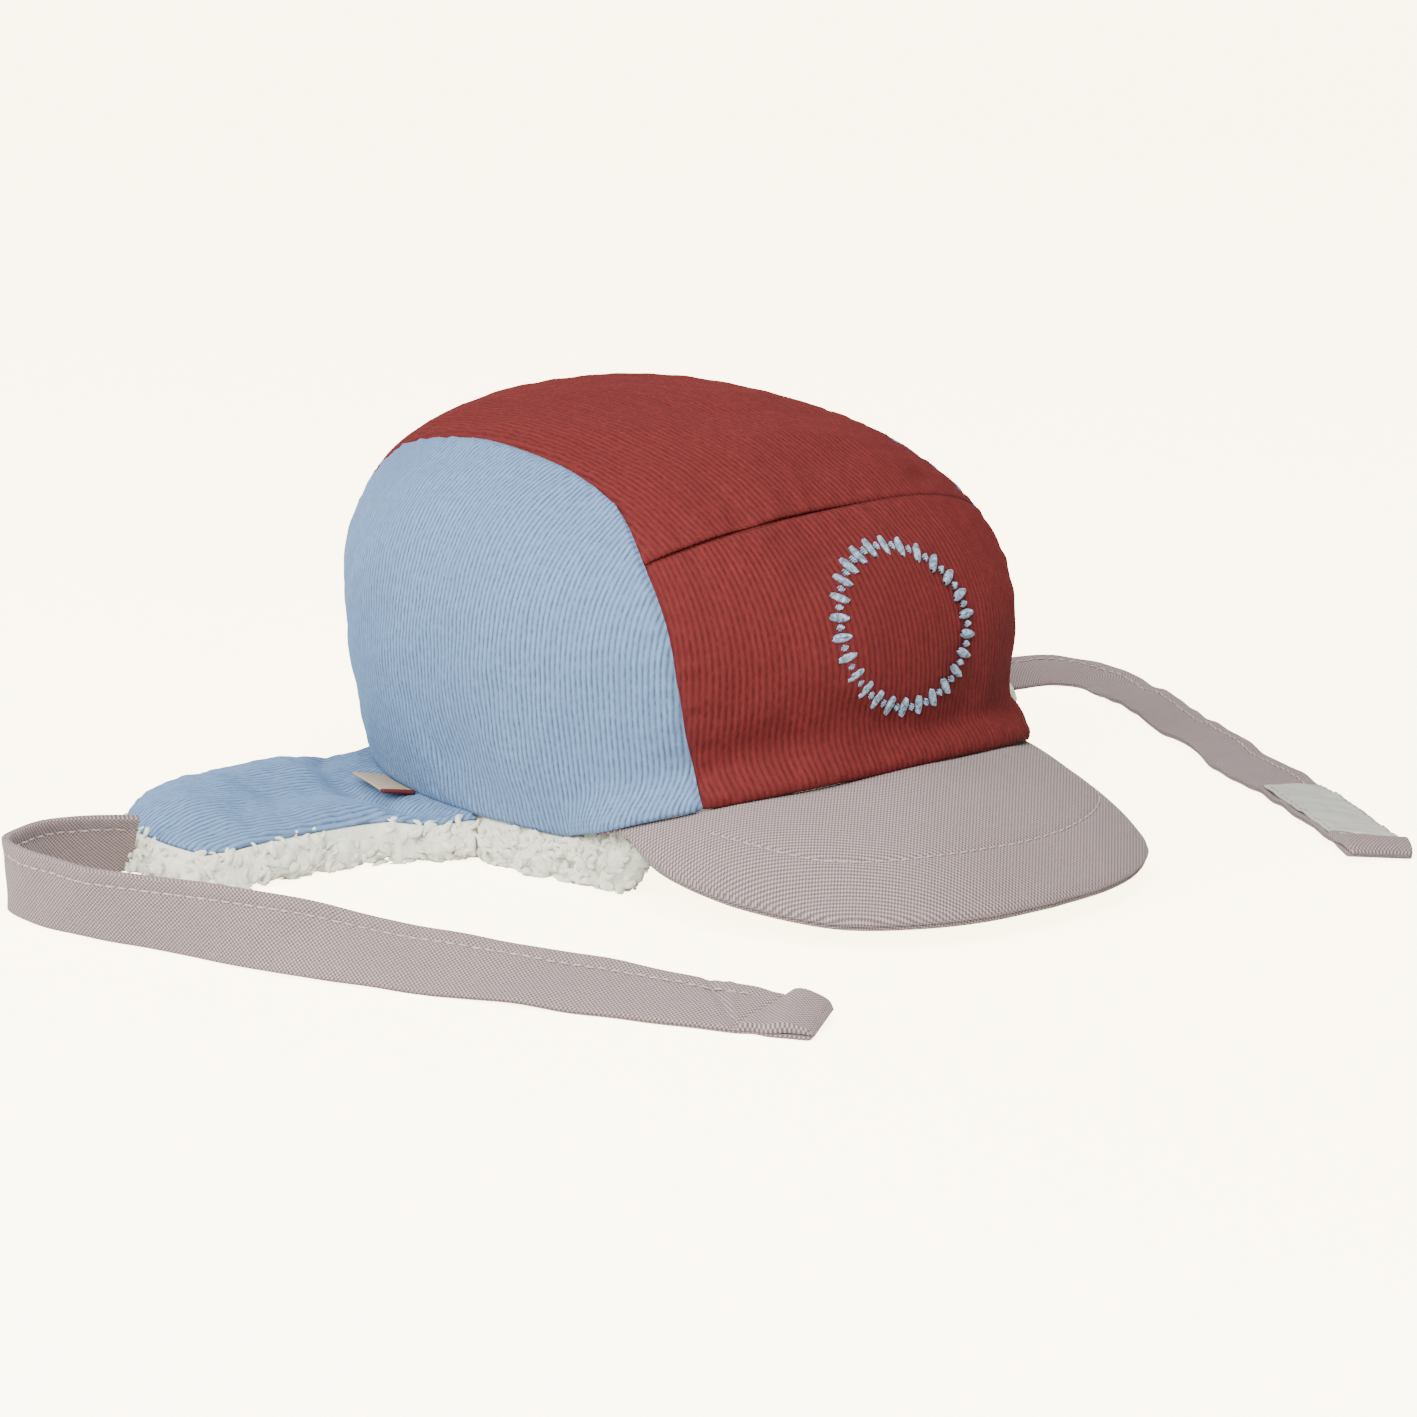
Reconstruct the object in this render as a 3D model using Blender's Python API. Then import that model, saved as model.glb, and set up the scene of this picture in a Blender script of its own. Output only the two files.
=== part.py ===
"""Child's five-panel winter cap with a soft peak, pile lining, two ear flaps and two long ties.

The cap rests on a flat surface with its flaps turned out and its ties laid forward.
Metres, +Z up. The peak points to -Y, and the wearer's right side is -X.
Angles round the crown are degrees from the front centre, positive to the wearer's right.
"""

import math

import bmesh
import bpy
import numpy as np

# Crown, measured over the outside of the cloth
CROWN_WIDTH = 0.166
CROWN_FRONT = 0.0985
CROWN_BACK = 0.1015
WIDEST_HEIGHT = 0.060
TOP_HEIGHT = 0.117
TOP_SLOPE = 0.10  # how much of its rise the top gains at the back and loses at the front
RIM_HEIGHT = 0.013
FRONT_RIM_HEIGHT = 0.0340
RIM_ARCH_ANGLE = 62.0  # where the rim starts to rise towards the peak
RIM_INSET = 0.0075
FRONT_INSET = 0.0045
FOOT_FLARE = 0.0085  # how far the front panel's foot turns out over the peak
FOOT_HEIGHT = 0.0070
FOOT_ANGLES = (50.0, 64.0)  # the flare is whole up to the first and gone at the second

# Squareness of the crown's outlines: 2 is an ellipse, more is squarer
PLAN_ROUNDNESS = {"front": 2.24, "side": 2.20, "back": 2.10}
WALL_ROUNDNESS = {"front": 2.20, "side": 2.43, "back": 2.55}

# Walls and gaps
CLOTH_WALL = 0.0016
PILE_WALL = 0.0060
PEAK_WALL = 0.0036
PEAK_EDGE_WALL = 0.0024
SEAM_GAP = 0.0003
LINING_GAP = 0.0007

# Side seam between a side panel and the middle strip, from the front rim to the back rim.
# Level is -1 at the rim, 0 at the widest section and 1 at the top.
SIDE_SEAM = (
    # angle, level
    (36.0, -1.00),
    (38.5, -0.45),
    (40.5, 0.05),
    (46.0, 0.33),
    (54.0, 0.51),
    (70.0, 0.605),
    (92.0, 0.635),
    (115.0, 0.62),
    (131.0, 0.54),
    (141.0, 0.43),
    (147.0, 0.22),
    (150.0, -0.05),
    (153.0, -1.00),
)
CROSS_SEAM_ROW = 3  # the front panel ends at this row of the side seam
PANEL_TOP_ROWS = (4, 9)  # the side panel's upper corners
CROSS_SEAM_LEVEL = 0.52  # where the cross seam passes the front centre line
SIDE_SEAM_CELLS = (3, 4, 4)  # between two rows, before, along and after the side panel's top edge
CROSS_SEAM_CELLS = 14

# Shallow folds of the soft cloth, as shares of the crown's half width, its front reach and its top height
FOLDS = (
    # side, front, up, half length, half width, turn in degrees, depth
    {"side": -0.48, "front": -0.80, "up": 0.36, "length": 0.16, "width": 0.075, "turn": 20, "depth": 0.0026},
    {"side": 0.62, "front": -0.66, "up": 0.37, "length": 0.15, "width": 0.075, "turn": -15, "depth": 0.0030},
    {"side": -0.10, "front": -0.95, "up": 0.52, "length": 0.26, "width": 0.16, "turn": 8, "depth": -0.0016},
    {"side": 0.05, "front": -0.72, "up": 0.90, "length": 0.34, "width": 0.09, "turn": 0, "depth": 0.0014},
    {"side": -0.92, "front": -0.10, "up": 0.22, "length": 0.22, "width": 0.10, "turn": -25, "depth": 0.0018},
    {"side": 0.92, "front": 0.06, "up": 0.24, "length": 0.22, "width": 0.10, "turn": 25, "depth": 0.0018},
    {"side": -0.42, "front": 0.82, "up": 0.34, "length": 0.18, "width": 0.10, "turn": 15, "depth": 0.0020},
    {"side": 0.36, "front": 0.86, "up": 0.38, "length": 0.18, "width": 0.10, "turn": -10, "depth": 0.0020},
)

# Peak. Its outer edge runs from one end of the front rim to the other.
PEAK_END_ANGLE = 53.0
PEAK_LENGTH = 0.0495 # from the front rim to the tip
PEAK_HALF_WIDTH = 0.0735
PEAK_BULGE = 0.0050
PEAK_END_WIDTH = 0.0015
PEAK_TUCK = 0.0008  # how far the peak runs in under the crown's edge
PEAK_EDGE = (
    # share of the half width, share of the way forward to the tip, height
    (0.905, 0.000, 0.0180),
    (0.970, 0.090, 0.0150),
    (0.995, 0.220, 0.0105),
    (0.975, 0.380, 0.0083),
    (0.920, 0.540, 0.0078),
    (0.765, 0.775, 0.0078),
    (0.550, 0.910, 0.0080),
    (0.300, 0.980, 0.0080),
    (0.000, 1.000, 0.0080),
)

# Lining skirt that shows below the rim
SKIRT_PUFF = 0.0012
SKIRT_SCALLOPS = 24
FRONT_SKIRT = 0.0045  # how far the lining reaches below the front rim
SKIRT_ANGLES = (44.0, 60.0)

# Ear flaps, lying turned out. Their outline is set out from the middle of the root.
FLAP_ROOT_ANGLES = (86.0, 146.0)
FLAP_LENGTH = 0.074
FLAP_WIDTH = 0.060
FLAP_MIDDLE = 0.048  # how far behind the crown's middle the flap's middle line lies
FLAP_PAD = 0.0080  # thickness of the pile under the flap's edge
FLAP_BULGE = 0.0095
FLAP_DENT = 0.0045
FLAP_PILE_OUT = 0.0022  # how far the pile stands out past the cloth
FLAP_PILE_DROP = 0.0020
FLAP_FRONT_EDGE = (
    # share of the length, share of the width
    (0.06, -0.80),
    (0.16, -0.70),
    (0.32, -0.62),
    (0.60, -0.585),
    (0.83, -0.56),
    (0.955, -0.46),
)
FLAP_TIP = (
    (0.955, -0.46),
    (1.010, -0.25),
    (1.000, 0.02),
    (0.900, 0.28),
)
FLAP_BACK_EDGE = (
    (-0.22, 0.46),
    (0.02, 0.49),
    (0.25, 0.50),
    (0.50, 0.49),
    (0.73, 0.42),
    (0.900, 0.28),
)

# Ties: flat canvas straps, doubled at the end
TIE_WIDTH = 0.0200
TIE_WALL = 0.0018
TIE_LENGTH = 0.300
TIE_HEM = 0.0150
TIE_STATIONS = 34
TIE_START_GAP = 0.0006
# Routes from the flap's tip, as shares of the tie's length, and the lean from the surface in degrees
RIGHT_TIE_ROUTE = (
    # out, forward, lean
    (0.000, 0.000, 60),
    (0.045, -0.012, 70),
    (0.085, -0.012, 78),
    (0.125, 0.003, 86),
    (0.148, 0.030, 90),
    (0.151, 0.080, 95),
    (0.133, 0.150, 97),
    (0.103, 0.230, 90),
    (0.074, 0.300, 72),
    (0.032, 0.375, 47),
    (-0.018, 0.460, 31),
    (-0.080, 0.576, 24),
    (-0.139, 0.680, 14),
    (-0.171, 0.733, 7),
)
LEFT_TIE_ROUTE = (
    # out, forward, lean
    (0.000, 0.000, 20),
    (0.045, -0.010, 14),
    (0.108, 0.000, 10),
    (0.139, 0.052, 3),
    (0.115, 0.136, -2),
    (0.074, 0.226, -4),
    (0.036, 0.317, -5),
    (-0.003, 0.399, -4),
    (-0.035, 0.484, -4),
    (-0.077, 0.574, -4),
    (-0.115, 0.649, -5),
    (-0.140, 0.692, -5),
)

# Labels, without any print
TIE_LABEL_LENGTH = 0.064
TIE_LABEL_WIDTH = 0.0180
LABEL_WALL = 0.0006
NECK_LABEL_ANGLES = (106.0, 120.0)
NECK_LABEL_START = 0.0011
NECK_LABEL_REACH = 0.0105
NECK_LABEL_LIFT = 0.0030

COLOURS = {
    "red_corduroy": (0.36, 0.055, 0.050, 0.92),
    "blue_corduroy": (0.36, 0.50, 0.66, 0.92),
    "grey_canvas": (0.47, 0.41, 0.39, 0.85),
    "white_pile": (0.80, 0.77, 0.70, 0.95),
    "label_tape": (0.80, 0.78, 0.72, 0.80),
}


# Curves and patches

def smooth_line(rows, steps=12):
    """Points of a smooth curve through the rows, the same number between each two of them."""
    rows = np.asarray(rows, float)
    ends = np.vstack([2 * rows[0] - rows[1], rows, 2 * rows[-1] - rows[-2]])
    share = np.arange(steps)[:, None] / steps
    spans = []
    for a, b, c, d in zip(ends, ends[1:], ends[2:], ends[3:]):
        spans.append(0.5 * (2 * b + (c - a) * share + (2 * a - 5 * b + 4 * c - d) * share**2
                            + (3 * b - a - 3 * c + d) * share**3))
    return np.vstack(spans + [rows[-1:]])


def along(line, shares):
    """Points at these shares of a line's length."""
    steps = np.linalg.norm(np.diff(line, axis=0), axis=1)
    run = np.concatenate([[0], np.cumsum(steps)])
    at = np.asarray(shares, float) * run[-1]
    return np.stack([np.interp(at, run, line[:, k]) for k in range(line.shape[1])], -1)


def shares_of(line):
    """Each point's share of a line's length."""
    run = np.concatenate([[0], np.cumsum(np.linalg.norm(np.diff(line, axis=0), axis=1))])
    return run / run[-1]


def patch(bottom, top, left, right):
    """A grid of points between four lines: bottom and top run left to right, left and right run upwards."""
    s = ((shares_of(bottom) + shares_of(top)) / 2)[None, :, None]
    t = ((shares_of(left) + shares_of(right)) / 2)[:, None, None]
    corners = ((1 - s) * (1 - t) * bottom[0] + s * (1 - t) * bottom[-1]
               + (1 - s) * t * top[0] + s * t * top[-1])
    return (1 - t) * bottom[None] + t * top[None] + (1 - s) * left[:, None] + s * right[:, None] - corners


def drawn_in(grid, reach):
    """The grid with its four edges moved inwards, which leaves the seam gap."""
    for edge, inner in ((0, 1), (-1, -2)):
        grid = grid.copy()
        step = grid[inner] - grid[edge]
        grid[edge] += step / np.linalg.norm(step, axis=-1, keepdims=True) * reach
        grid = grid.swapaxes(0, 1)
        step = grid[inner] - grid[edge]
        grid[edge] += step / np.linalg.norm(step, axis=-1, keepdims=True) * reach
        grid = grid.swapaxes(0, 1)
    return grid


def mirrored(points):
    return points * np.array([-1.0, 1.0, 1.0])


def ease(value, start, end):
    """0 up to start, 1 from end on, and smooth between."""
    t = np.clip((value - start) / (end - start), 0, 1)
    return t * t * (3 - 2 * t)


# Crown surface

def by_side(angle, values):
    ahead = np.cos(np.radians(angle))
    end = np.where(ahead > 0, values["front"], values["back"])
    return values["side"] + (end - values["side"]) * ahead**2


def outline_reach(angle):
    """Distance from the crown's middle to its widest outline, seen from above."""
    n = by_side(angle, PLAN_ROUNDNESS)
    across, ahead = np.sin(np.radians(angle)), np.cos(np.radians(angle))
    length = np.where(ahead > 0, CROWN_FRONT, CROWN_BACK)
    return (np.abs(across / (CROWN_WIDTH / 2)) ** n + np.abs(ahead / length) ** n) ** (-1 / n)


def rim_height(angle):
    share = np.clip(np.abs(angle) / RIM_ARCH_ANGLE, 0, 1)
    return RIM_HEIGHT + (FRONT_RIM_HEIGHT - RIM_HEIGHT) * (1 - share**2)


def wall_reach(angle, height, flare):
    """Distance from the crown's middle axis to its wall, below the widest section."""
    rim = rim_height(angle)
    drop = np.clip((WIDEST_HEIGHT - height) / (WIDEST_HEIGHT - rim), 0, 1)
    foot = 1 - ease(np.abs(angle), *FOOT_ANGLES)
    inset = RIM_INSET + (FRONT_INSET - RIM_INSET) * foot
    turned_out = flare * foot * np.exp(-(((height - rim) / FOOT_HEIGHT) ** 2))
    return outline_reach(angle) - inset * drop**2 + turned_out


def plan_angle(points):
    return np.degrees(np.arctan2(-points[..., 0], -points[..., 1]))


def fold_depth(points):
    """How far the cloth's shallow folds dip at these points."""
    size = np.array([CROWN_WIDTH / 2, CROWN_FRONT, TOP_HEIGHT])
    depth = 0.0
    for row in FOLDS:
        away = points - np.array([row["side"], row["front"], row["up"]]) * size
        level = np.array([-row["front"], row["side"], 0.0])
        level = level / np.linalg.norm(level)
        turn = math.radians(row["turn"])
        run = level * math.cos(turn) + np.array([0, 0, math.sin(turn)])
        along_fold = away @ run
        beside = np.sqrt(np.maximum((away**2).sum(-1) - along_fold**2, 0))
        depth = depth + row["depth"] * np.exp(-((along_fold / (row["length"] * CROWN_FRONT)) ** 2)
                                              - (beside / (row["width"] * CROWN_FRONT)) ** 2)
    return depth


def plain_crown(points, flare=FOOT_FLARE):
    """These points moved straight out or in to the crown's plain outer surface."""
    slope = 1 + TOP_SLOPE * points[..., 1] / CROWN_BACK
    rise = points[..., 2] - WIDEST_HEIGHT
    rise = np.where(rise > 0, rise / slope, rise)
    angle = plan_angle(points)
    plan = np.maximum(np.hypot(points[..., 0], points[..., 1]), 1e-9)
    m = by_side(angle, WALL_ROUNDNESS)
    up = np.maximum(rise, 0) / (TOP_HEIGHT - WIDEST_HEIGHT)
    upper = ((plan / outline_reach(angle)) ** m + up**m) ** (-1 / m)
    lower = wall_reach(angle, points[..., 2], flare) / plan
    scale = np.where(rise > 0, upper, lower)
    x, y = points[..., 0] * scale, points[..., 1] * scale
    high = rise * upper * (1 + TOP_SLOPE * y / CROWN_BACK)
    return np.stack([x, y, WIDEST_HEIGHT + np.where(rise > 0, high, rise)], -1)


def crown_point(angle, level, flare=FOOT_FLARE):
    """A point of the plain surface by its angle and its level, from -1 at the rim to 1 at the top."""
    angle, level = np.broadcast_arrays(np.asarray(angle, float), np.asarray(level, float))
    m = by_side(angle, WALL_ROUNDNESS)
    turn = np.clip(level, 0, 1) * math.pi / 2
    low = WIDEST_HEIGHT + (WIDEST_HEIGHT - rim_height(angle)) * np.clip(level, -1, 0)
    reach = np.where(level > 0, outline_reach(angle) * np.cos(turn) ** (2 / m), wall_reach(angle, low, flare))
    x, y = -reach * np.sin(np.radians(angle)), -reach * np.cos(np.radians(angle))
    rise = (TOP_HEIGHT - WIDEST_HEIGHT) * np.sin(turn) ** (2 / m)
    high = WIDEST_HEIGHT + rise * (1 + TOP_SLOPE * y / CROWN_BACK)
    return np.stack([x, y, np.where(level > 0, high, low)], -1)


def crown_normal(points, flare, step=0.0003):
    """Outward normals of the plain surface."""
    def stand_off(p):
        return np.linalg.norm(p - MIDDLE, axis=-1) - np.linalg.norm(plain_crown(p, flare) - MIDDLE, axis=-1)

    slopes = []
    for axis in np.eye(3):
        slopes.append(stand_off(points + axis * step) - stand_off(points - axis * step))
    normal = np.stack(slopes, -1)
    return normal / np.linalg.norm(normal, axis=-1, keepdims=True)


MIDDLE = np.array([0.0, 0.0, WIDEST_HEIGHT])


def crown_layer(points, depth, flare=FOOT_FLARE):
    """The crown's surface at these points, folds included, this far inside its outer face."""
    plain = plain_crown(points, flare)
    return plain - crown_normal(plain, flare) * (depth + fold_depth(plain))[..., None]


# Seam lines

def seam_line(first, last):
    """The right side seam between two of its rows, at the cells that the panels share."""
    lines = []
    for row in range(first, last):
        cells = SIDE_SEAM_CELLS[0 if row < PANEL_TOP_ROWS[0] else 1 if row < PANEL_TOP_ROWS[1] else 2]
        span = smooth_line(SIDE_SEAM, cells)[row * cells:(row + 1) * cells + 1]
        lines.append(span if row == last - 1 else span[:-1])
    rows = np.vstack(lines)
    return crown_point(rows[:, 0], rows[:, 1])


def rim_line(start, end, cells):
    return crown_point(np.linspace(start, end, cells + 1), -1.0)


def cross_seam():
    """Between the front and top panels, from the right side seam to the left one."""
    corner = crown_point(*SIDE_SEAM[CROSS_SEAM_ROW])
    centre = crown_point(0.0, CROSS_SEAM_LEVEL)
    t = np.linspace(-1, 1, CROSS_SEAM_CELLS + 1)[:, None]
    sag = np.array([0, 1, 1]) * (corner - centre)
    return plain_crown(centre + sag * t**2 - np.array([1, 0, 0]) * corner[0] * t)


# Solids

def material(name):
    red, green, blue, rough = COLOURS[name]
    made = bpy.data.materials.get(name) or bpy.data.materials.new(name)
    made.use_nodes = True
    shader = made.node_tree.nodes["Principled BSDF"]
    shader.inputs["Base Color"].default_value = (red, green, blue, 1)
    shader.inputs["Roughness"].default_value = rough
    shader.inputs["Metallic"].default_value = 0.0
    return made


def piece(name, bm, finish, smooth_angle=40.0):
    """A named object from a closed bmesh, its faces pointing out."""
    bmesh.ops.remove_doubles(bm, verts=bm.verts, dist=1e-7)
    bmesh.ops.dissolve_degenerate(bm, edges=bm.edges, dist=1e-7)
    bmesh.ops.triangulate(bm, faces=bm.faces)
    bmesh.ops.recalc_face_normals(bm, faces=bm.faces)
    mesh = bpy.data.meshes.new(name)
    bm.to_mesh(mesh)
    bm.free()
    mesh.materials.append(material(finish))
    mesh.shade_smooth()
    mesh.set_sharp_from_angle(angle=math.radians(smooth_angle))
    made = bpy.data.objects.new(name, mesh)
    bpy.context.scene.collection.objects.link(made)
    return made


def add_sheet(bm, grid, closed=False):
    """Vertices and faces of a grid of points. A closed grid joins its last column to its first."""
    verts = [[bm.verts.new(p) for p in row] for row in grid]
    count = len(verts[0])
    for low, high in zip(verts, verts[1:]):
        for k in range(count if closed else count - 1):
            n = (k + 1) % count
            bm.faces.new((low[k], low[n], high[n], high[k]))
    return verts


def join_edges(bm, one, other):
    """Closes the strip between two like rows of vertices."""
    for a, b, c, d in zip(one, one[1:], other[1:], other):
        bm.faces.new((a, b, c, d))


def shell(name, outer, inner, finish):
    """A wall between two like grids of points, closed round its four edges."""
    bm = bmesh.new()
    front, back = add_sheet(bm, outer), add_sheet(bm, inner)
    for row in (0, -1):
        join_edges(bm, front[row], back[row])
    for column in (0, -1):
        join_edges(bm, [r[column] for r in front], [r[column] for r in back])
    return piece(name, bm, finish)


def crown_panel(name, grid, finish):
    grid = drawn_in(grid, SEAM_GAP / 2)
    return shell(name, crown_layer(grid, 0.0), crown_layer(grid, CLOTH_WALL), finish)


def make_panels():
    last = len(SIDE_SEAM) - 1
    top_front, top_back = PANEL_TOP_ROWS
    rim_front, rim_back = SIDE_SEAM[0][0], SIDE_SEAM[-1][0]

    over = seam_line(top_front, top_back)
    side = patch(rim_line(rim_front, rim_back, len(over) - 1), over,
                 seam_line(0, top_front), seam_line(top_back, last)[::-1])
    made = [crown_panel("side_panel_right", side, "blue_corduroy"),
            crown_panel("side_panel_left", mirrored(side), "blue_corduroy")]

    right = seam_line(0, CROSS_SEAM_ROW)
    front = patch(rim_line(rim_front, -rim_front, CROSS_SEAM_CELLS), cross_seam(), right, mirrored(right))
    made.append(crown_panel("front_panel", front, "red_corduroy"))

    right = seam_line(CROSS_SEAM_ROW, last)
    back_rim = rim_line(rim_back, 360 - rim_back, CROSS_SEAM_CELLS)
    top = patch(cross_seam(), back_rim, right, mirrored(right))
    made.append(crown_panel("top_panel", top, "red_corduroy"))
    return made


def skirt_foot(angle):
    """Height of the lining's lower edge."""
    front = 1 - ease(np.abs(angle), *SKIRT_ANGLES)
    return (rim_height(angle) - FRONT_SKIRT) * front


def make_lining():
    """Pile lining: one hollow dome that stands on the surface at the sides and back."""
    angles = np.linspace(-180, 180, 49)[:-1]
    levels = np.array([-1.0, -0.72, -0.45, -0.15, 0.12, 0.27, 0.40, 0.52, 0.63, 0.74, 0.86])
    dome = crown_point(angles[None], levels[:, None], flare=0)
    apex = crown_point(np.array([[0.0]]), np.array([[0.9999]]))
    scallop = SKIRT_PUFF * (1 + np.cos(np.radians(angles * SKIRT_SCALLOPS))) / 2
    bm = bmesh.new()
    lower_edges = []
    for depth, puff in ((CLOTH_WALL + LINING_GAP, scallop), (CLOTH_WALL + LINING_GAP + PILE_WALL, -scallop)):
        grid = crown_layer(dome, depth, flare=0)
        rim = grid[0]
        out = rim * np.array([1, 1, 0])
        out = out / np.linalg.norm(out, axis=-1, keepdims=True)
        foot, half = rim.copy(), rim + out * puff[:, None]
        foot[:, 2] = skirt_foot(angles)
        half[:, 2] = (rim[:, 2] + foot[:, 2]) / 2
        verts = add_sheet(bm, np.concatenate([[foot], [half], grid]), closed=True)
        tip = bm.verts.new(crown_layer(apex, depth)[0, 0])
        ring = verts[-1]
        for k, vert in enumerate(ring):
            bm.faces.new((vert, ring[(k + 1) % len(ring)], tip))
        lower_edges.append(verts[0] + verts[0][:1])
    join_edges(bm, *lower_edges)
    return piece("crown_lining", bm, "white_pile")


def make_peak():
    """Stiffened peak, a curved plate thinner at its outer edge."""
    half = smooth_line(PEAK_EDGE, 6)
    end = crown_point(PEAK_END_ANGLE, -1.0)
    tip_front = CROWN_FRONT - FRONT_INSET + FOOT_FLARE + PEAK_LENGTH
    forward = -end[1] + (tip_front + end[1]) * half[:, 1]
    right = np.stack([-half[:, 0] * PEAK_HALF_WIDTH, -forward, half[:, 2]], -1)
    outer = np.vstack([right, mirrored(right)[-2::-1]])
    across = np.linspace(0, 1, 33)
    edge = along(outer, across)

    root = rim_line(PEAK_END_ANGLE, -PEAK_END_ANGLE, len(across) - 1)
    inward = root * np.array([1, 1, 0])
    inward = -inward / np.linalg.norm(inward, axis=-1, keepdims=True)
    root = root + inward * PEAK_TUCK
    root[:, 2] -= SEAM_GAP
    edge[0], edge[-1] = root[0] - inward[0] * PEAK_END_WIDTH, root[-1] - inward[-1] * PEAK_END_WIDTH

    out = np.array([0, 0.05, 0.15, 0.3, 0.45, 0.6, 0.75, 0.88, 0.97, 1.0])[:, None, None]
    top = root * (1 - out) + edge * out
    length = np.linalg.norm(edge - root, axis=-1)
    top[..., 2] += PEAK_BULGE * (4 * out * (1 - out))[..., 0] * np.minimum(length / PEAK_LENGTH, 1)
    wall = PEAK_WALL + (PEAK_EDGE_WALL - PEAK_WALL) * ease(out[..., 0], 0.9, 1.0)
    side = np.gradient(top, axis=1)
    slope = np.gradient(top, axis=0)
    normal = np.cross(slope, side)
    normal = normal / np.linalg.norm(normal, axis=-1, keepdims=True)
    normal = normal * np.sign(normal[..., 2:])
    normal[0] = normal[0] * 0 + np.array([0, 0, 1.0])
    return shell("peak", top, top - normal * wall[..., None], "grey_canvas")


def flap_outline():
    """The right flap's four edges seen from above: root, tip, front and back."""
    start, end = FLAP_ROOT_ANGLES
    root = rim_line(start, end, 48)[:, :2]
    inward = -root / np.linalg.norm(root, axis=-1, keepdims=True)
    root = root + inward * (CLOTH_WALL + LINING_GAP / 2 - SKIRT_PUFF - SEAM_GAP)
    origin = np.array([crown_point(90.0, -1.0)[0], FLAP_MIDDLE])

    def placed(rows):
        line = smooth_line(rows, 8)
        return origin + np.stack([-line[:, 0] * FLAP_LENGTH, line[:, 1] * FLAP_WIDTH], -1)

    front = np.vstack([root[:1], placed(FLAP_FRONT_EDGE)])
    back = np.vstack([root[-1:], placed(FLAP_BACK_EDGE)])
    return root, placed(FLAP_TIP), front, back


def widened(grid, reach, drop):
    """The grid with one more row or column past each edge but the first row, further out and lower."""
    def past(edge, inner):
        out = (edge - inner) * np.array([1, 1, 0])
        out = out / np.linalg.norm(out, axis=-1, keepdims=True)
        return edge + out * reach - np.array([0, 0, drop])

    grid = np.concatenate([past(grid[:, :1], grid[:, 1:2]), grid, past(grid[:, -1:], grid[:, -2:-1])], axis=1)
    row = past(grid[-1:], grid[-2:-1])
    row[..., 2] = grid[-1, 0, 2]
    return np.concatenate([grid, row])


def flap_height(across, out):
    """Height of the flap's upper face over the surface."""
    a, b = across[None], out[:, None]
    edge = FLAP_PAD + CLOTH_WALL
    rise = FLAP_BULGE * np.sin(math.pi * np.clip(a * 0.80 + 0.1, 0, 1)) ** 0.8 * (1 - ease(b, 0.75, 1.15))
    dent = FLAP_DENT * np.exp(-(((a - 0.38) / 0.2) ** 2) - ((b - 0.30) / 0.16) ** 2)
    height = edge + rise * ease(b, 0.0, 0.35) - dent
    root = RIM_HEIGHT - SEAM_GAP
    return root + (height - root) * ease(b, 0.0, 0.22)


def make_flaps():
    made = []
    across, out = np.linspace(0, 1, 13), np.linspace(0, 1, 11)
    root, tip, front, back = flap_outline()
    plan = patch(along(root, across), along(tip, across), along(front, out), along(back, out))
    top = np.concatenate([plan, flap_height(across, out)[..., None]], -1)
    under = top - np.array([0, 0, CLOTH_WALL])
    pile_top = widened(under - np.array([0, 0, SEAM_GAP]), FLAP_PILE_OUT, FLAP_PILE_DROP)
    ground = pile_top * np.array([1, 1, 0])
    for side, flip in (("right", False), ("left", True)):
        turned = mirrored if flip else np.array
        made.append(shell(f"ear_flap_{side}", turned(top), turned(under), "blue_corduroy"))
        made.append(shell(f"flap_lining_{side}", turned(pile_top), turned(ground), "white_pile"))
    return made


def tie_frames(route, stations, side):
    """Middle line of a tie, its width and its face directions. Side is -1 on the wearer's right."""
    _, tip, _, _ = flap_outline()
    start = along(tip, [0.5])[0] - np.array([FLAP_PILE_OUT + TIE_START_GAP, 0])
    rows = smooth_line([(-out * TIE_LENGTH, -forward * TIE_LENGTH, lean) for out, forward, lean in route])
    rows = along(rows * np.array([1, 1, 1e-6]), stations) / np.array([1, 1, 1e-6])
    lean = np.radians(rows[:, 2])
    path = (start + rows[:, :2]) * np.array([-side, 1])
    run = np.gradient(path, axis=0)
    run = run / np.linalg.norm(run, axis=-1, keepdims=True)
    beside = np.stack([-run[:, 1], run[:, 0], 0 * lean], -1)
    up = np.array([0, 0, 1.0])
    width = beside * np.cos(lean)[:, None] + up * np.sin(lean)[:, None]
    face = -beside * np.sin(lean)[:, None] + up * np.cos(lean)[:, None]
    height = (TIE_WIDTH * np.abs(np.sin(lean)) + TIE_WALL * np.abs(np.cos(lean))) / 2
    return np.concatenate([path, height[:, None]], -1), width, face


def make_tie(name, route, side):
    hem_start = 1 - TIE_HEM / TIE_LENGTH
    stations = np.concatenate([np.linspace(0, hem_start, TIE_STATIONS), [hem_start + 0.004],
                               np.linspace(hem_start + 0.016, 1, 3)])
    middle, width, face = tie_frames(route, stations, side)
    extra = np.where(stations > hem_start + 0.002, TIE_WALL, 0)[:, None]
    top = [middle + width * TIE_WIDTH * k / 2 + face * (TIE_WALL / 2 + extra) for k in (-1, 0, 1)]
    under = [middle + width * TIE_WIDTH * k / 2 - face * TIE_WALL / 2 for k in (-1, 0, 1)]
    return shell(name, np.array(top), np.array(under), "grey_canvas")


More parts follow.
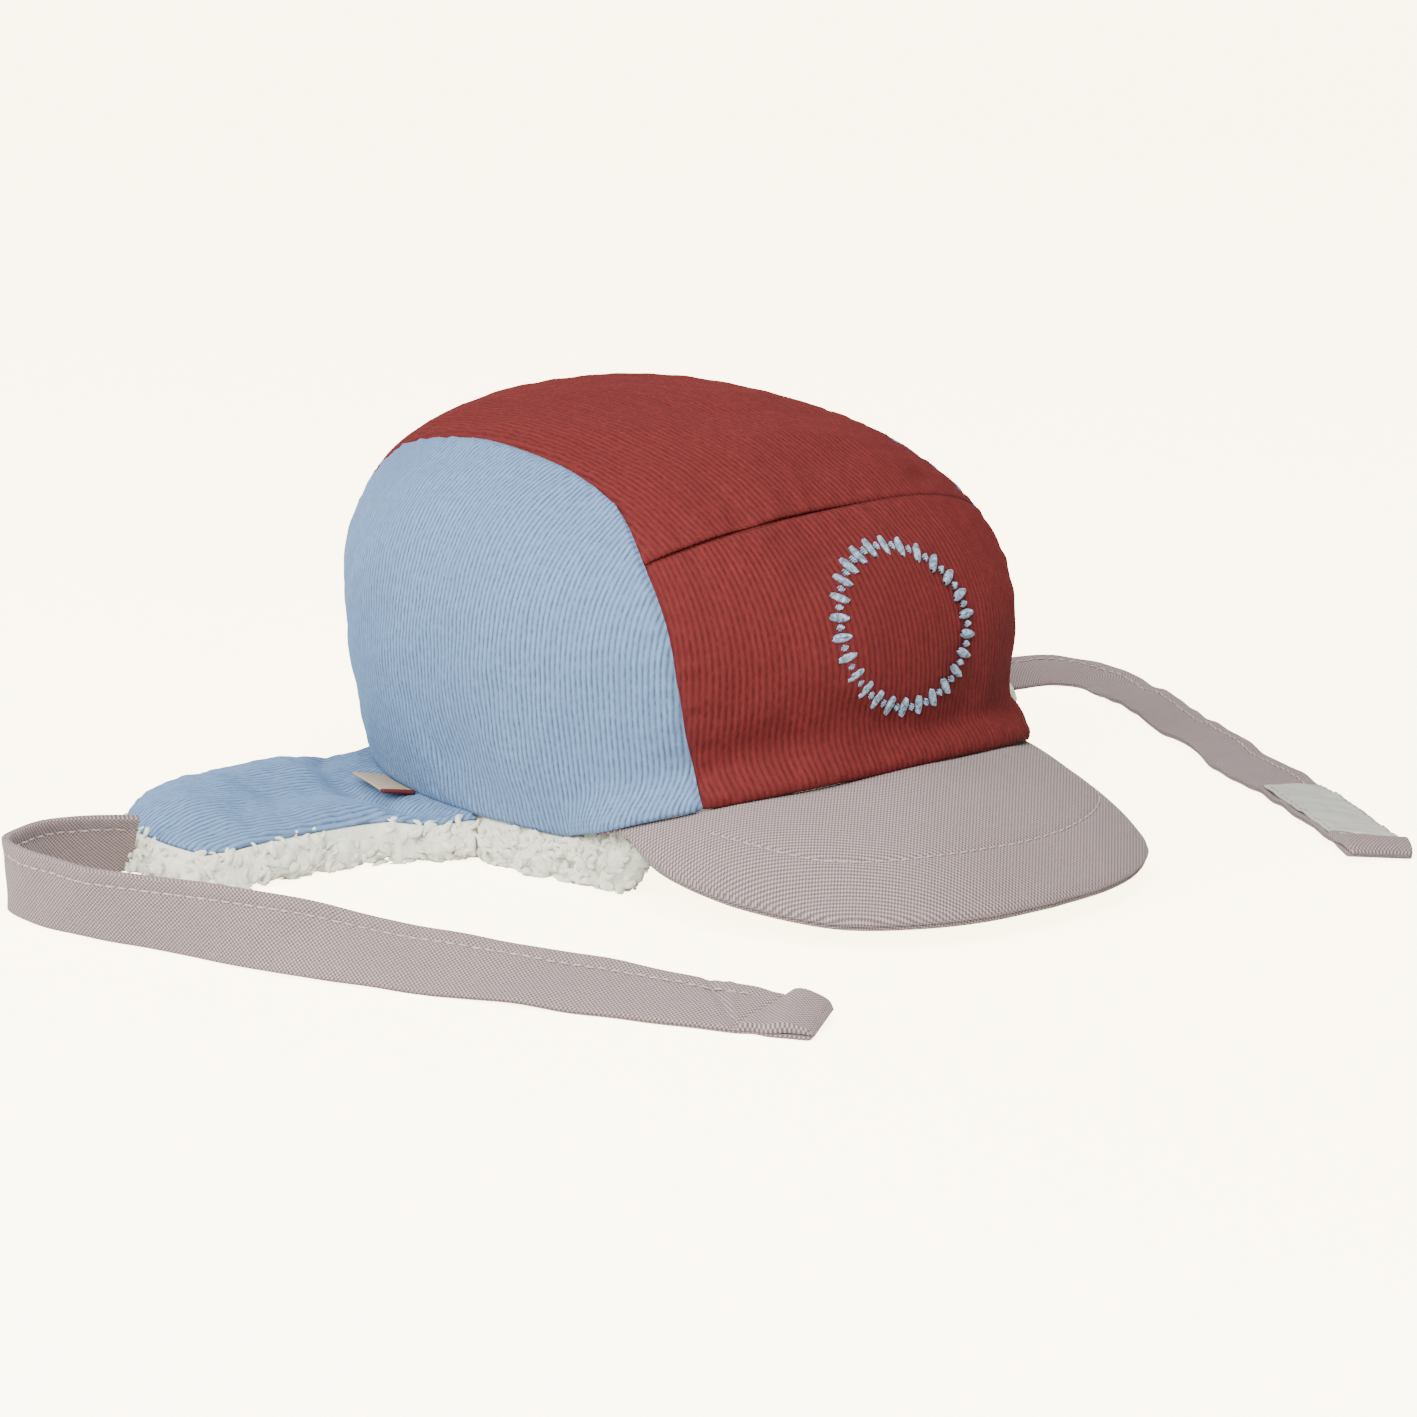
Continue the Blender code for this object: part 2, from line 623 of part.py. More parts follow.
def make_tie_label():
    """Woven tape sewn along the left tie's upper face, next to its hem."""
    end = 1 - (TIE_HEM + 0.001) / TIE_LENGTH
    stations = np.linspace(end - TIE_LABEL_LENGTH / TIE_LENGTH, end, 10)
    middle, width, face = tie_frames(LEFT_TIE_ROUTE, stations, 1)
    rows = []
    for lift in (TIE_WALL / 2 + SEAM_GAP + LABEL_WALL, TIE_WALL / 2 + SEAM_GAP):
        rows.append(np.array([middle + width * TIE_LABEL_WIDTH * k / 2 + face * lift for k in (-1, 0, 1)]))
    return shell("tie_label", rows[0], rows[1], "label_tape")


def make_neck_label():
    """Folded tape caught in the seam over the right flap's root."""
    root = rim_line(*NECK_LABEL_ANGLES, 6)
    out = root * np.array([1, 1, 0])
    out = out / np.linalg.norm(out, axis=-1, keepdims=True)
    reach = np.linspace(NECK_LABEL_START, NECK_LABEL_REACH, 5)[:, None, None]
    lift = NECK_LABEL_LIFT * (reach / NECK_LABEL_REACH) ** 0.7
    face = root[None] + out[None] * reach + np.array([0, 0, 1.0]) * (lift + SEAM_GAP + LABEL_WALL)
    return shell("neck_label", face, face - np.array([0, 0, 2 * LABEL_WALL]), "label_tape")


def centre_on_origin(pieces):
    """Hangs the pieces on one empty, moved so that the middle of the whole footprint is the origin."""
    carrier = bpy.data.objects.new("cap", None)
    bpy.context.scene.collection.objects.link(carrier)
    points = np.vstack([[v.co for v in made.data.vertices] for made in pieces])
    middle = (points.min(0) + points.max(0)) / 2
    carrier.location = (-middle[0], -middle[1], 0)
    for made in pieces:
        made.parent = carrier


def main():
    for old in list(bpy.data.objects):
        bpy.data.objects.remove(old)
    pieces = make_panels()
    pieces.append(make_lining())
    pieces.append(make_peak())
    pieces += make_flaps()
    pieces.append(make_tie("tie_right", RIGHT_TIE_ROUTE, -1))
    pieces.append(make_tie("tie_left", LEFT_TIE_ROUTE, 1))
    pieces.append(make_tie_label())
    pieces.append(make_neck_label())
    centre_on_origin(pieces)


main()
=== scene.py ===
"""The sewn detail of a child's winter cap.

Ribbed corduroy, woven canvas, curly pile, stitches, labels and an embroidered ring.
"""

import math

import bpy
import numpy as np
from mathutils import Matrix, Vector
from mathutils.kdtree import KDTree


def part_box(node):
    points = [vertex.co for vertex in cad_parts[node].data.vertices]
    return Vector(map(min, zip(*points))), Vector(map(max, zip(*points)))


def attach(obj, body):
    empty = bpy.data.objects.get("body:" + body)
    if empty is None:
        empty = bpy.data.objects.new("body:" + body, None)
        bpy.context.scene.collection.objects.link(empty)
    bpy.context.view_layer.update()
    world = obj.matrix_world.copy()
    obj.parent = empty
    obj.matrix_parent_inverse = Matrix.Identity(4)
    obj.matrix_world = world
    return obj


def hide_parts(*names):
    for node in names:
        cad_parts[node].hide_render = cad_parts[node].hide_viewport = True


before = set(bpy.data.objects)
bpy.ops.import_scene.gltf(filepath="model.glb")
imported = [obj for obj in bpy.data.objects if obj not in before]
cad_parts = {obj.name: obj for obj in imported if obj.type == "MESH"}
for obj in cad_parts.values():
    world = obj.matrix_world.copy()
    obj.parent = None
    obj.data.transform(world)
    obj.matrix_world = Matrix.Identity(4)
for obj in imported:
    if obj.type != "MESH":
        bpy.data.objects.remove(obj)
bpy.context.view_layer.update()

bl_info = {
    "name": "Winter Cap",
    "version": (1, 0, 0),
    "blender": (4, 5, 0),
    "location": "View3D > Sidebar > Cap",
    "description": "Dresses the solid model of a child's winter cap",
    "category": "Object",
}

# The crown's form, in metres and in the crown's own frame: its middle axis is x = y = 0
CROWN_WIDTH = 0.166
CROWN_FRONT = 0.0985
CROWN_BACK = 0.1015
WIDEST_HEIGHT = 0.060
TOP_HEIGHT = 0.117
TOP_SLOPE = 0.10
RIM_HEIGHT = 0.013
FRONT_RIM_HEIGHT = 0.0340
RIM_ARCH_ANGLE = 62.0
RIM_INSET = 0.0075
FRONT_INSET = 0.0045
FOOT_FLARE = 0.0085
FOOT_HEIGHT = 0.0070
FOOT_ANGLES = (50.0, 64.0)
PLAN_ROUNDNESS = {"front": 2.24, "side": 2.20, "back": 2.10}
WALL_ROUNDNESS = {"front": 2.20, "side": 2.43, "back": 2.55}
CLOTH_WALL = 0.0016
LINING_GAP = 0.0007
PILE_WALL = 0.0060
SEAM_GAP = 0.0003

SIDE_SEAM = (
    # angle, level
    (36.0, -1.00), (38.5, -0.45), (40.5, 0.05), (46.0, 0.33), (54.0, 0.51),
    (70.0, 0.605), (92.0, 0.635), (115.0, 0.62), (131.0, 0.54), (141.0, 0.43),
    (147.0, 0.22), (150.0, -0.05), (153.0, -1.00),
)
CROSS_SEAM_ROW = 3
PANEL_TOP_ROWS = (4, 9)
CROSS_SEAM_LEVEL = 0.52
SIDE_MIDDLE = 92.0

# Folds of the soft cloth. Side, front and up are shares of the crown's half width, front reach and top
# height. Half length and half width are shares of the front reach, and depth is in metres
FOLDS = (
    # side, front, up, half length, half width, turn in degrees, depth
    (-0.48, -0.80, 0.36, 0.16, 0.075, 20, 0.0026),
    (0.62, -0.66, 0.37, 0.15, 0.075, -15, 0.0030),
    (-0.10, -0.95, 0.52, 0.26, 0.16, 8, -0.0016),
    (0.05, -0.72, 0.90, 0.34, 0.09, 0, 0.0014),
    (-0.92, -0.10, 0.22, 0.22, 0.10, -25, 0.0018),
    (0.92, 0.06, 0.24, 0.22, 0.10, 25, 0.0018),
    (-0.42, 0.82, 0.34, 0.18, 0.10, 15, 0.0020),
    (0.36, 0.86, 0.38, 0.18, 0.10, -10, 0.0020),
)
# The fine ones, too shallow for the solid model
CREASES = (
    (0.62, -0.70, 0.385, 0.15, 0.045, -8, 0.0042),
    (0.60, -0.80, 0.270, 0.22, 0.070, 0, -0.0034),
    (-0.46, -0.84, 0.365, 0.16, 0.060, 24, 0.0022),
    (-0.36, -0.92, 0.300, 0.22, 0.030, 10, 0.0008),
    (0.30, -0.94, 0.345, 0.26, 0.030, -6, 0.0018),
    (-0.12, -0.98, 0.400, 0.16, 0.045, -20, 0.0015),
    (0.60, -0.72, 0.520, 0.14, 0.024, 34, 0.0017),
    (0.52, -0.80, 0.620, 0.12, 0.024, 48, 0.0014),
    (-0.55, -0.78, 0.600, 0.10, 0.020, -40, 0.0006),
    (-0.46, -0.62, 0.820, 0.13, 0.026, 12, 0.0018),
    (-0.34, -0.66, 0.880, 0.14, 0.040, 40, 0.0010),
    (0.50, -0.55, 0.840, 0.12, 0.026, -12, 0.0019),
    (0.26, -0.50, 0.930, 0.16, 0.050, 60, 0.0010),
    (-0.97, -0.30, 0.340, 0.12, 0.030, 70, 0.0008),
    (-0.95, 0.10, 0.280, 0.14, 0.030, -60, 0.0008),
)

# Peak
PEAK_END_ANGLE = 53.0
PEAK_LENGTH = 0.0495
PEAK_HALF_WIDTH = 0.0735
PEAK_BULGE = 0.0050
PEAK_END_WIDTH = 0.0015
PEAK_TUCK = 0.0018
PEAK_WALL = 0.0036
PEAK_EDGE_WALL = 0.0024
PEAK_EDGE = (
    # share of the half width, share of the way forward to the tip, height
    (0.905, 0.000, 0.0180), (0.970, 0.090, 0.0150), (0.995, 0.220, 0.0105),
    (0.975, 0.380, 0.0083), (0.920, 0.540, 0.0078), (0.765, 0.775, 0.0078),
    (0.550, 0.910, 0.0080), (0.300, 0.980, 0.0080), (0.000, 1.000, 0.0080),
)
PEAK_STITCH_IN = 0.0195

# Seams: how far beside them the cloth turns in and puckers, and the puckers' two wavelengths
SEAM_WIDTH = 0.0015
PUCKER_START = 0.0025
PUCKER_REACH = 0.0055
PUCKER_WAVES = (0.0083, 0.0051)

# Lining skirt
SKIRT_ANGLES = (37.0, 53.0)
FRONT_SKIRT = 0.0045

# Ear flaps
FLAP_ROOT_ANGLES = (86.0, 146.0)
FLAP_LENGTH = 0.074
FLAP_WIDTH = 0.060
FLAP_MIDDLE = 0.048
FLAP_PAD = 0.0080
FLAP_BULGE = 0.0095
FLAP_DENT = 0.0045
FLAP_PILE_OUT = 0.0022
FLAP_ROLL = 0.0040
FLAP_FRONT_EDGE = (
    # share of the length, share of the width
    (0.06, -0.80), (0.16, -0.70), (0.32, -0.62), (0.60, -0.585), (0.83, -0.56),
    (0.955, -0.46),
)
FLAP_TIP = (
    (0.955, -0.46), (1.010, -0.25), (1.000, 0.02), (0.900, 0.28),
)
FLAP_BACK_EDGE = (
    (-0.22, 0.46), (0.02, 0.49), (0.25, 0.50), (0.50, 0.49), (0.73, 0.42),
    (0.900, 0.28),
)

# Ties
TIE_WIDTH = 0.0200
TIE_WALL = 0.0018
TIE_LENGTH = 0.300
TIE_HEM = 0.0150
TIE_START_GAP = 0.0006
TIE_LOOP = 0.0040
TIE_STITCH_AT = 0.60
TIE_PINCH = {"right": 0.07, "left": 0.05}
TIE_WAVE = {"right": 0.012, "left": 0.035}
TIE_HEM_LINE = (0.0195, 0.0110)
TIE_FOLDS = (
    # distance from the end at the lower edge and at the upper edge, height
    (0.0185, 0.0330, -0.0007), (0.0190, 0.0270, 0.0004), (0.0202, 0.0117, -0.0007),
)
TIE_ROUTES = {
    # out, forward, lean: shares of the tie's length and degrees
    "right": (
        (0.000, 0.000, 60), (0.045, -0.012, 70), (0.085, -0.012, 78),
        (0.125, 0.003, 86), (0.148, 0.030, 90), (0.151, 0.080, 95),
        (0.133, 0.150, 97), (0.103, 0.230, 90), (0.074, 0.300, 72),
        (0.032, 0.375, 47), (-0.018, 0.460, 31), (-0.080, 0.576, 24),
        (-0.139, 0.680, 14), (-0.171, 0.733, 7),
    ),
    "left": (
        (0.000, 0.000, 20), (0.045, -0.010, 14), (0.108, 0.000, 10),
        (0.139, 0.052, 3), (0.115, 0.136, -2), (0.074, 0.226, -4),
        (0.036, 0.317, -5), (-0.003, 0.399, -4), (-0.035, 0.484, -4),
        (-0.077, 0.574, -4), (-0.115, 0.649, -5), (-0.140, 0.692, -5),
    ),
}
TIE_LABEL_LENGTH = 0.064
TIE_LABEL_WIDTH = 0.0180
NECK_LABEL_ANGLES = (106.0, 120.0)
NECK_LABEL_START = 0.0011
NECK_LABEL_REACH = 0.0105
NECK_LABEL_LIFT = 0.0016
LABEL_WALL = 0.0006
TAPE_RIB = 0.0004
TAPE_BORDER = 0.075

# Embroidery: a ring of leaves and dots, each by half its length and half its width
EMBROIDERY_CENTRE = (-0.0020, 0.0708)
EMBROIDERY_RADIUS = 0.0222
PETALS = 52
LEAF = (0.0028, 0.00108)
DOT = (0.0009, 0.00075)
THREAD_RADIUS = 0.00024

# Points of the fine faces, across and up
SIDE_GRID = (457, 85)
FRONT_GRID = (421, 91)
TOP_GRID = (331, 145)
PEAK_GRID = (361, 81)
FLAP_GRID = (199, 109)
TIE_ROWS = 400
# Steps from one point of an inner face to the next, in points of the fine one
COARSE = 6
LABEL_COARSE = 2

# The pile's lumps, the large ones first: count, spread off the surface, radius, height
LINING_LUMPS = ((1500, 0.0007, 0.0052, 0.0036), (5200, 0.0004, 0.0022, 0.0012))
FLAP_LUMPS = ((300, 0.0006, 0.0042, 0.0046), (1400, 0.0004, 0.0020, 0.0016))
LINING_CURLS = 1500
FLAP_CURLS = 1000
FLAP_CURL_SIZE = 1.1

# Seeds of what is uneven
SEEDS = {"side": 11, "front": 23, "top": 37, "peak": 51, "lining": 5, "flap": 71, "flap_pile": 83,
         "tie_right": 90, "tie_left": 100, "tie_edge": 98, "tie_tape": 95}

# The right side of the peak is bent up this far, and the left seam sits this far round over the front.
# The solid model has neither
PEAK_BEND = 0.0038
LEFT_SEAM_SHIFT = (0.0030, 0.0, 0.0014)

FLOOR_CLEARANCE = 0.0001

# Stage
FLOOR_GLOW = 8.6
CAMERA_AZIMUTH = -40.0
CAMERA_ELEVATION = 13.0
CAMERA_DISTANCE = 1.350
CAMERA_LENS = 123.2
CAMERA_AIM = {"height": 0.060, "right": 0.0090, "drop": 0.0297}
LIGHTS = (
    # name, azimuth, elevation, distance, size, watts
    ("key", -55.0, 34.0, 1.6, 0.75, 30.0),
    ("top", -30.0, 70.0, 1.6, 0.90, 25.0),
    ("left", -115.0, 30.0, 1.6, 0.90, 23.0),
)

MIDDLE = np.array([0.0, 0.0, WIDEST_HEIGHT])
UP = np.array([0.0, 0.0, 1.0])
# A point times this lies on the floor
LEVEL = np.array([1.0, 1.0, 0.0])
PEAK_TIP = CROWN_FRONT - FRONT_INSET + FOOT_FLARE + PEAK_LENGTH


def crown_place():
    """Where the crown's middle axis stands in the model's frame, read from the peak's box."""
    low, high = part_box("peak")
    return np.array([(low[0] + high[0]) / 2, low[1] + PEAK_TIP, 0.0])


PLACE = crown_place()


# What a user may change

def length_choice(name, description, default):
    """A length that a user may change, in metres."""
    return bpy.props.FloatProperty(
        name=name, description=description, default=default, unit="LENGTH")


def colour_choice(name, description, default):
    """A colour that a user may change."""
    return bpy.props.FloatVectorProperty(
        name=name, description=description, default=default, subtype="COLOR")


class CapSizes(bpy.types.PropertyGroup):
    """Sizes of the cloth's detail."""
    red_pitch: length_choice("Red rib spacing", "Between ribs of the front and top", 0.00175)
    blue_pitch: length_choice("Blue rib spacing", "Between ribs of the sides and flaps", 0.00160)
    wale_depth: length_choice("Rib depth", "Height of a corduroy rib", 0.00030)
    weave_pitch: length_choice("Thread spacing", "From one canvas thread to the next", 0.00058)
    seam_dip: length_choice("Seam depth", "How deep the cloth turns in at a seam", 0.0012)
    pucker: length_choice("Pucker", "Height of the small waves beside a seam", 0.00030)
    curl: length_choice("Curl", "Radius of the pile's curls", 0.0015)
    stitch: length_choice("Stitch", "Length of a stitch", 0.0027)


class CapColours(bpy.types.PropertyGroup):
    """Colours of the cloth and thread."""
    red: colour_choice("Red", "Front and top corduroy", (0.100, 0.0112, 0.0106))
    blue: colour_choice("Blue", "Side and flap corduroy", (0.132, 0.218, 0.360))
    canvas: colour_choice("Canvas", "Peak and ties", (0.236, 0.186, 0.180))
    pile: colour_choice("Pile", "Curly lining", (0.93, 0.92, 0.75))
    thread: colour_choice("Thread", "Embroidery thread", (0.27, 0.38, 0.50))
    tape: colour_choice("Tape", "Label on the left tie", (0.50, 0.50, 0.45))
    neck_tape: colour_choice("Neck tape", "Label over the right flap", (0.42, 0.34, 0.25))
    neck_edge: colour_choice("Neck edge", "Border of the neck tape", (0.11, 0.014, 0.011))
    floor: colour_choice("Floor", "Floor and backdrop", (0.90, 0.885, 0.85))


def sizes():
    """The sizes as the user has set them."""
    return bpy.context.scene.cap_sizes


def colours():
    """The colours as the user has set them."""
    return bpy.context.scene.cap_colours


# Shader maths

class Value:
    """A shader socket that takes part in Python sums."""

    def __init__(self, finish, socket):
        self.finish = finish
        self.socket = socket

    def math(self, operation, *others):
        """This value and others through one Math node."""
        values = (self, *others)
        return self.finish.add("ShaderNodeMath", {"operation": operation}, dict(enumerate(values)))

    def __add__(self, other):
        return self.math("ADD", other)

    def __sub__(self, other):
        return self.math("SUBTRACT", other)

    def __mul__(self, other):
        return self.math("MULTIPLY", other)

    def __pow__(self, other):
        return self.math("POWER", other)

    def __rsub__(self, other):
        return (self * -1.0) + other

    def clipped(self):
        """Kept between 0 and 1."""
        return self.math("MAXIMUM", 0.0).math("MINIMUM", 1.0)

    __radd__ = __add__
    __rmul__ = __mul__


class Finish:
    """A material and the nodes that it is made of."""

    def __init__(self, name):
        self.material = bpy.data.materials.new(name)
        self.material.use_nodes = True
        self.tree = self.material.node_tree
        self.shader = self.tree.nodes["Principled BSDF"]

    def add(self, kind, settings=None, inputs=None, output=0):
        """Adds a node, sets it up, feeds its sockets and returns one output."""
        node = self.tree.nodes.new(kind)
        for key, value in (settings or {}).items():
            setattr(node, key, value)
        for key, value in (inputs or {}).items():
            self.feed(node.inputs[key], value)
        return Value(self, node.outputs[output])

    def feed(self, socket, value):
        if isinstance(value, Value):
            self.tree.links.new(value.socket, socket)
        else:
            socket.default_value = value

    def set(self, **inputs):
        """Feeds the shader's own sockets, an underscore for each space."""
        for key, value in inputs.items():
            self.feed(self.shader.inputs[key.replace("_", " ")], value)

    def mix(self, share, one, other):
        """From one colour to the other."""
        return self.add("ShaderNodeMix", {"data_type": "RGBA", "clamp_factor": True},
                        {0: share, 6: one, 7: other}, 2)

    def cloth(self):
        """The cloth's own coordinates, in metres: across and along its ribs or threads."""
        place = self.add("ShaderNodeUVMap", {"uv_map": "cloth"})
        return place, self.axis(place, "X"), self.axis(place, "Y")

    def axis(self, vector, name):
        return self.add("ShaderNodeSeparateXYZ", None, {"Vector": vector}, name)

    def stretched(self, vector, across, along):
        """Coordinates scaled across and along the cloth."""
        return self.add("ShaderNodeMapping", None, {"Vector": vector, "Scale": (across, along, 0.0)})

    def noise(self, vector, scale, detail=3.0, roughness=0.55):
        return self.add("ShaderNodeTexNoise", None,
                        {"Vector": vector, "Scale": scale, "Detail": detail, "Roughness": roughness})

    def room(self):
        """Coordinates in space, in metres."""
        return self.add("ShaderNodeTexCoord", None, None, "Object")

    def bump(self, height, strength, distance):
        return self.add("ShaderNodeBump", None,
                        {"Height": height, "Strength": strength, "Distance": distance})


def shade(colour, factors):
    """A colour times one factor, or times one for each channel."""
    return (*[min(c * float(f), 1.0) for c, f in zip(colour, np.broadcast_to(factors, 3))], 1.0)


def corduroy(name, colour, pitch, groove, mottle):
    """Soft ribs and a nap that varies along the cloth. Groove is how light the painted shade between
    the ribs is.
    """
    made = Finish(name)
    place, across, _ = made.cloth()
    crest = ((across * (2 * math.pi / pitch)).math("COSINE") * 0.5 + 0.5) ** 0.6
    nap = made.noise(made.stretched(place, 1100, 420), 1.0, 3.0, 0.6)
    streaks = made.noise(made.stretched(place, 420, 22), 1.0, 3.0)
    patches = made.noise(made.room(), 24.0, 2.0)
    # From painted shade down between the ribs to painted light on their crests
    base = made.mix(crest, shade(colour, groove), shade(colour, 1.16))
    base = made.mix((nap - 0.40) * 1.6 * mottle, base, shade(colour, 1.5))
    base = made.mix((streaks - 0.42) * 0.9 * mottle, base, shade(colour, 0.70))
    base = made.mix((patches - 0.42) * 0.7 * mottle, base, shade(colour, 0.82))
    height = nap * 0.6 + crest * 0.6
    made.set(Base_Color=base, Roughness=0.92 - crest * 0.05, Normal=made.bump(height, 0.5, 0.00022),
             Sheen_Weight=0.22, Sheen_Roughness=0.45, Sheen_Tint=shade(colour, 1.8),
             Specular_IOR_Level=0.2)
    return made.material


def canvas(name, colour):
    """Paired threads over and under each other, one way slightly pinker than the other."""
    made = Finish(name)
    place, across, along = made.cloth()
    pitch = sizes().weave_pitch
    over = (across * (math.pi / pitch)).math("SINE")
    under = (along * (math.pi / pitch)).math("SINE")
    which = (over * under * 6.0 + 0.5).clipped()
    warp = over.math("ABSOLUTE") ** 0.5
    weft = under.math("ABSOLUTE") ** 0.5
    crown = warp * which + weft * (1.0 - which)
    slub = made.noise(made.stretched(place, 300, 2600), 1.0, 2.0)
    slub_too = made.noise(made.stretched(place, 2600, 300), 1.0, 2.0)
    patches = made.noise(made.room(), 30.0, 3.0)
    pink = shade(colour, (1.75, 1.62, 1.60))
    grey = shade(colour, (0.44, 0.46, 0.47))
    base = made.mix(which, grey, pink)
    # Painted shade where the threads dip under each other
    base = made.mix((1.0 - crown) * 0.5, base, shade(colour, 0.36))
    base = made.mix((slub - 0.45) * 1.1, base, shade(colour, 1.35))
    base = made.mix((slub_too - 0.45) * 0.9, base, shade(colour, 0.70))
    base = made.mix((patches - 0.42) * 0.5, base, shade(colour, 0.86))
    made.set(Base_Color=base, Roughness=0.88 - crown * 0.08,
             Normal=made.bump(crown + slub * 0.5, 0.7, 0.00016),
             Sheen_Weight=0.12, Sheen_Roughness=0.5, Specular_IOR_Level=0.25)
    return made.material


def curly_pile(name, colour):
    """Off-white wool with painted shade down between its curls, and warmer in patches."""
    made = Finish(name)
    room = made.room()
    clumps = made.noise(room, 260.0, 3.0, 0.6)
    hairs = made.noise(room, 1900.0, 3.0, 0.65)
    patches = made.noise(room, 45.0, 2.0)
    # Painted shade down between the clumps of curls
    base = made.mix((clumps - 0.30) * 1.6, shade(colour, 0.80), shade(colour, 1.05))
    base = made.mix((hairs - 0.40) * 1.0, base, shade(colour, 1.15))
    base = made.mix((patches - 0.45) * 0.6, base, shade(colour, (0.92, 0.892, 0.828)))
    made.set(Base_Color=base, Roughness=0.95, Normal=made.bump(hairs + clumps, 0.8, 0.0005),
             Sheen_Weight=0.5, Sheen_Roughness=0.5, Specular_IOR_Level=0.15)
    return made.material


def thread(name, colour, light, dark, gloss):
    """Twisted thread, which varies between these two shares of its colour: partly its own tone, partly
    painted highlights and shade.
    """
    made = Finish(name)
    room = made.room()
    runs = made.noise(room, 900.0, 2.0)
    twist = made.noise(room, 3200.0, 1.0)
    # Runs between the dark and light shares, and a fine twist towards the dark: partly the thread's
    # own tone, partly painted highlights and painted shade
    base = made.mix((runs - 0.35) * 2.6, shade(colour, dark), shade(colour, light))
    base = made.mix((twist - 0.4) * 1.2, base, shade(colour, dark))
    made.set(Base_Color=base, Roughness=gloss + twist * 0.15, Normal=made.bump(twist, 0.5, 0.0002),
             Specular_IOR_Level=0.4)
    return made.material


def tape(name, colour, edge=None):
    """Fine ribbed label tape. An edge colour fills the border along its front edge."""
    made = Finish(name)
    _, across, along = made.cloth()
    rib = (along * (math.pi / TAPE_RIB)).math("SINE").math("ABSOLUTE")
    soil = made.noise(made.room(), 220.0, 3.0)
    # Painted shade in the troughs between the fine ribs
    base = made.mix(rib * 0.5, shade(colour, 0.86), shade(colour, 1.04))
    base = made.mix((soil - 0.42) * 0.7, base, shade(colour, 0.80))
    if edge:
        border = ((TAPE_BORDER - across) * 80.0).clipped()
        base = made.mix(border, base, shade(edge, 1.0))
    made.set(Base_Color=base, Roughness=0.8, Normal=made.bump(rib, 0.5, 0.0001),
             Specular_IOR_Level=0.3)
    return made.material


# Lines and grids of points

def smooth_line(rows, steps=16):
    """A curve through these rows, with this many points for each."""
    rows = np.asarray(rows, float)
    ends = np.vstack([2 * rows[0] - rows[1], rows, 2 * rows[-1] - rows[-2]])
    share = np.arange(steps)[:, None] / steps
    spans = []
    for a, b, c, d in zip(ends, ends[1:], ends[2:], ends[3:]):
        spans.append(0.5 * (2 * b + (c - a) * share + (2 * a - 5 * b + 4 * c - d) * share**2
                            + (3 * b - a - 3 * c + d) * share**3))
    return np.vstack(spans + [rows[-1:]])


def run_of(line):
    """Length along a line at each of its points."""
    return np.concatenate([[0], np.cumsum(np.linalg.norm(np.diff(line, axis=0), axis=1))])


def along(line, at):
    """Points at these shares of a line's length."""
    run = run_of(line)
    at = np.asarray(at, float) * run[-1]
    return np.stack([np.interp(at, run, column) for column in line.T], -1)


def patch(bottom, top, left, right, across, up):
    """A grid between four lines, with this many points each way."""
    s, t = np.linspace(0, 1, across), np.linspace(0, 1, up)
    low, high, near, far = along(bottom, s), along(top, s), along(left, t), along(right, t)
    s, t = s[None, :, None], t[:, None, None]
    corners = ((1 - s) * (1 - t) * low[0] + s * (1 - t) * low[-1]
               + (1 - s) * t * high[0] + s * t * high[-1])
    return (1 - t) * low[None] + t * high[None] + (1 - s) * near[:, None] + s * far[:, None] - corners


def mirrored(points):
    """These points on the other side of the cap."""
    return points * np.array([-1.0, 1.0, 1.0])


def ease(value, start, end):
    """From 0 at start to 1 at end, level at both."""
    t = np.clip((value - start) / (end - start), 0, 1)
    return t * t * (3 - 2 * t)


def hump(value, middle, width):
    """1 at the middle, and next to nothing two widths away."""
    return np.exp(-(((value - middle) / width) ** 2))


def unit(vectors):
    """These vectors at length 1."""
    return vectors / np.maximum(np.linalg.norm(vectors, axis=-1, keepdims=True), 1e-12)


def grid_runs(grid):
    """Length along the rows and up the columns, and distances to the left, right, bottom and top."""
    across = np.linalg.norm(np.diff(grid, axis=1), axis=-1)
    across = np.concatenate([np.zeros((len(grid), 1)), np.cumsum(across, axis=1)], axis=1)
    up = np.linalg.norm(np.diff(grid, axis=0), axis=-1)
    up = np.concatenate([np.zeros((1, grid.shape[1])), np.cumsum(up, axis=0)], axis=0)
    return across, up, (across, across[:, -1:] - across, up, up[-1:] - up)


def grid_normals(grid, closed=False):
    """Unit normals of a grid of points, by the cross product of its columns' and rows' directions."""
    if closed:
        side = np.roll(grid, -1, axis=1) - np.roll(grid, 1, axis=1)
    else:
        side = np.gradient(grid, axis=1)
    return unit(np.cross(side, np.gradient(grid, axis=0)))


def ripple(points, wave, seed, turns=7):
    """Smooth unevenness, mostly between -1 and 1, of about this wavelength."""
    rng = np.random.default_rng(seed)
    total = 0.0
    for _ in range(turns):
        way = unit(rng.normal(size=3)) * (2 * math.pi / (wave * rng.uniform(0.7, 1.4)))
        total = total + np.sin(points @ way + rng.uniform(0, 2 * math.pi))
    return total * 0.9 / math.sqrt(turns)


# Crown surface

def by_side(angle, values):
    """A value that changes from the side's to the front's and the back's."""
    ahead = np.cos(np.radians(angle))
    end = np.where(ahead > 0, values["front"], values["back"])
    return values["side"] + (end - values["side"]) * ahead**2


def outline_reach(angle):
    """From the middle axis to the crown's widest outline, seen from above."""
    n = by_side(angle, PLAN_ROUNDNESS)
    across, ahead = np.sin(np.radians(angle)), np.cos(np.radians(angle))
    length = np.where(ahead > 0, CROWN_FRONT, CROWN_BACK)
    return (np.abs(across / (CROWN_WIDTH / 2)) ** n + np.abs(ahead / length) ** n) ** (-1 / n)


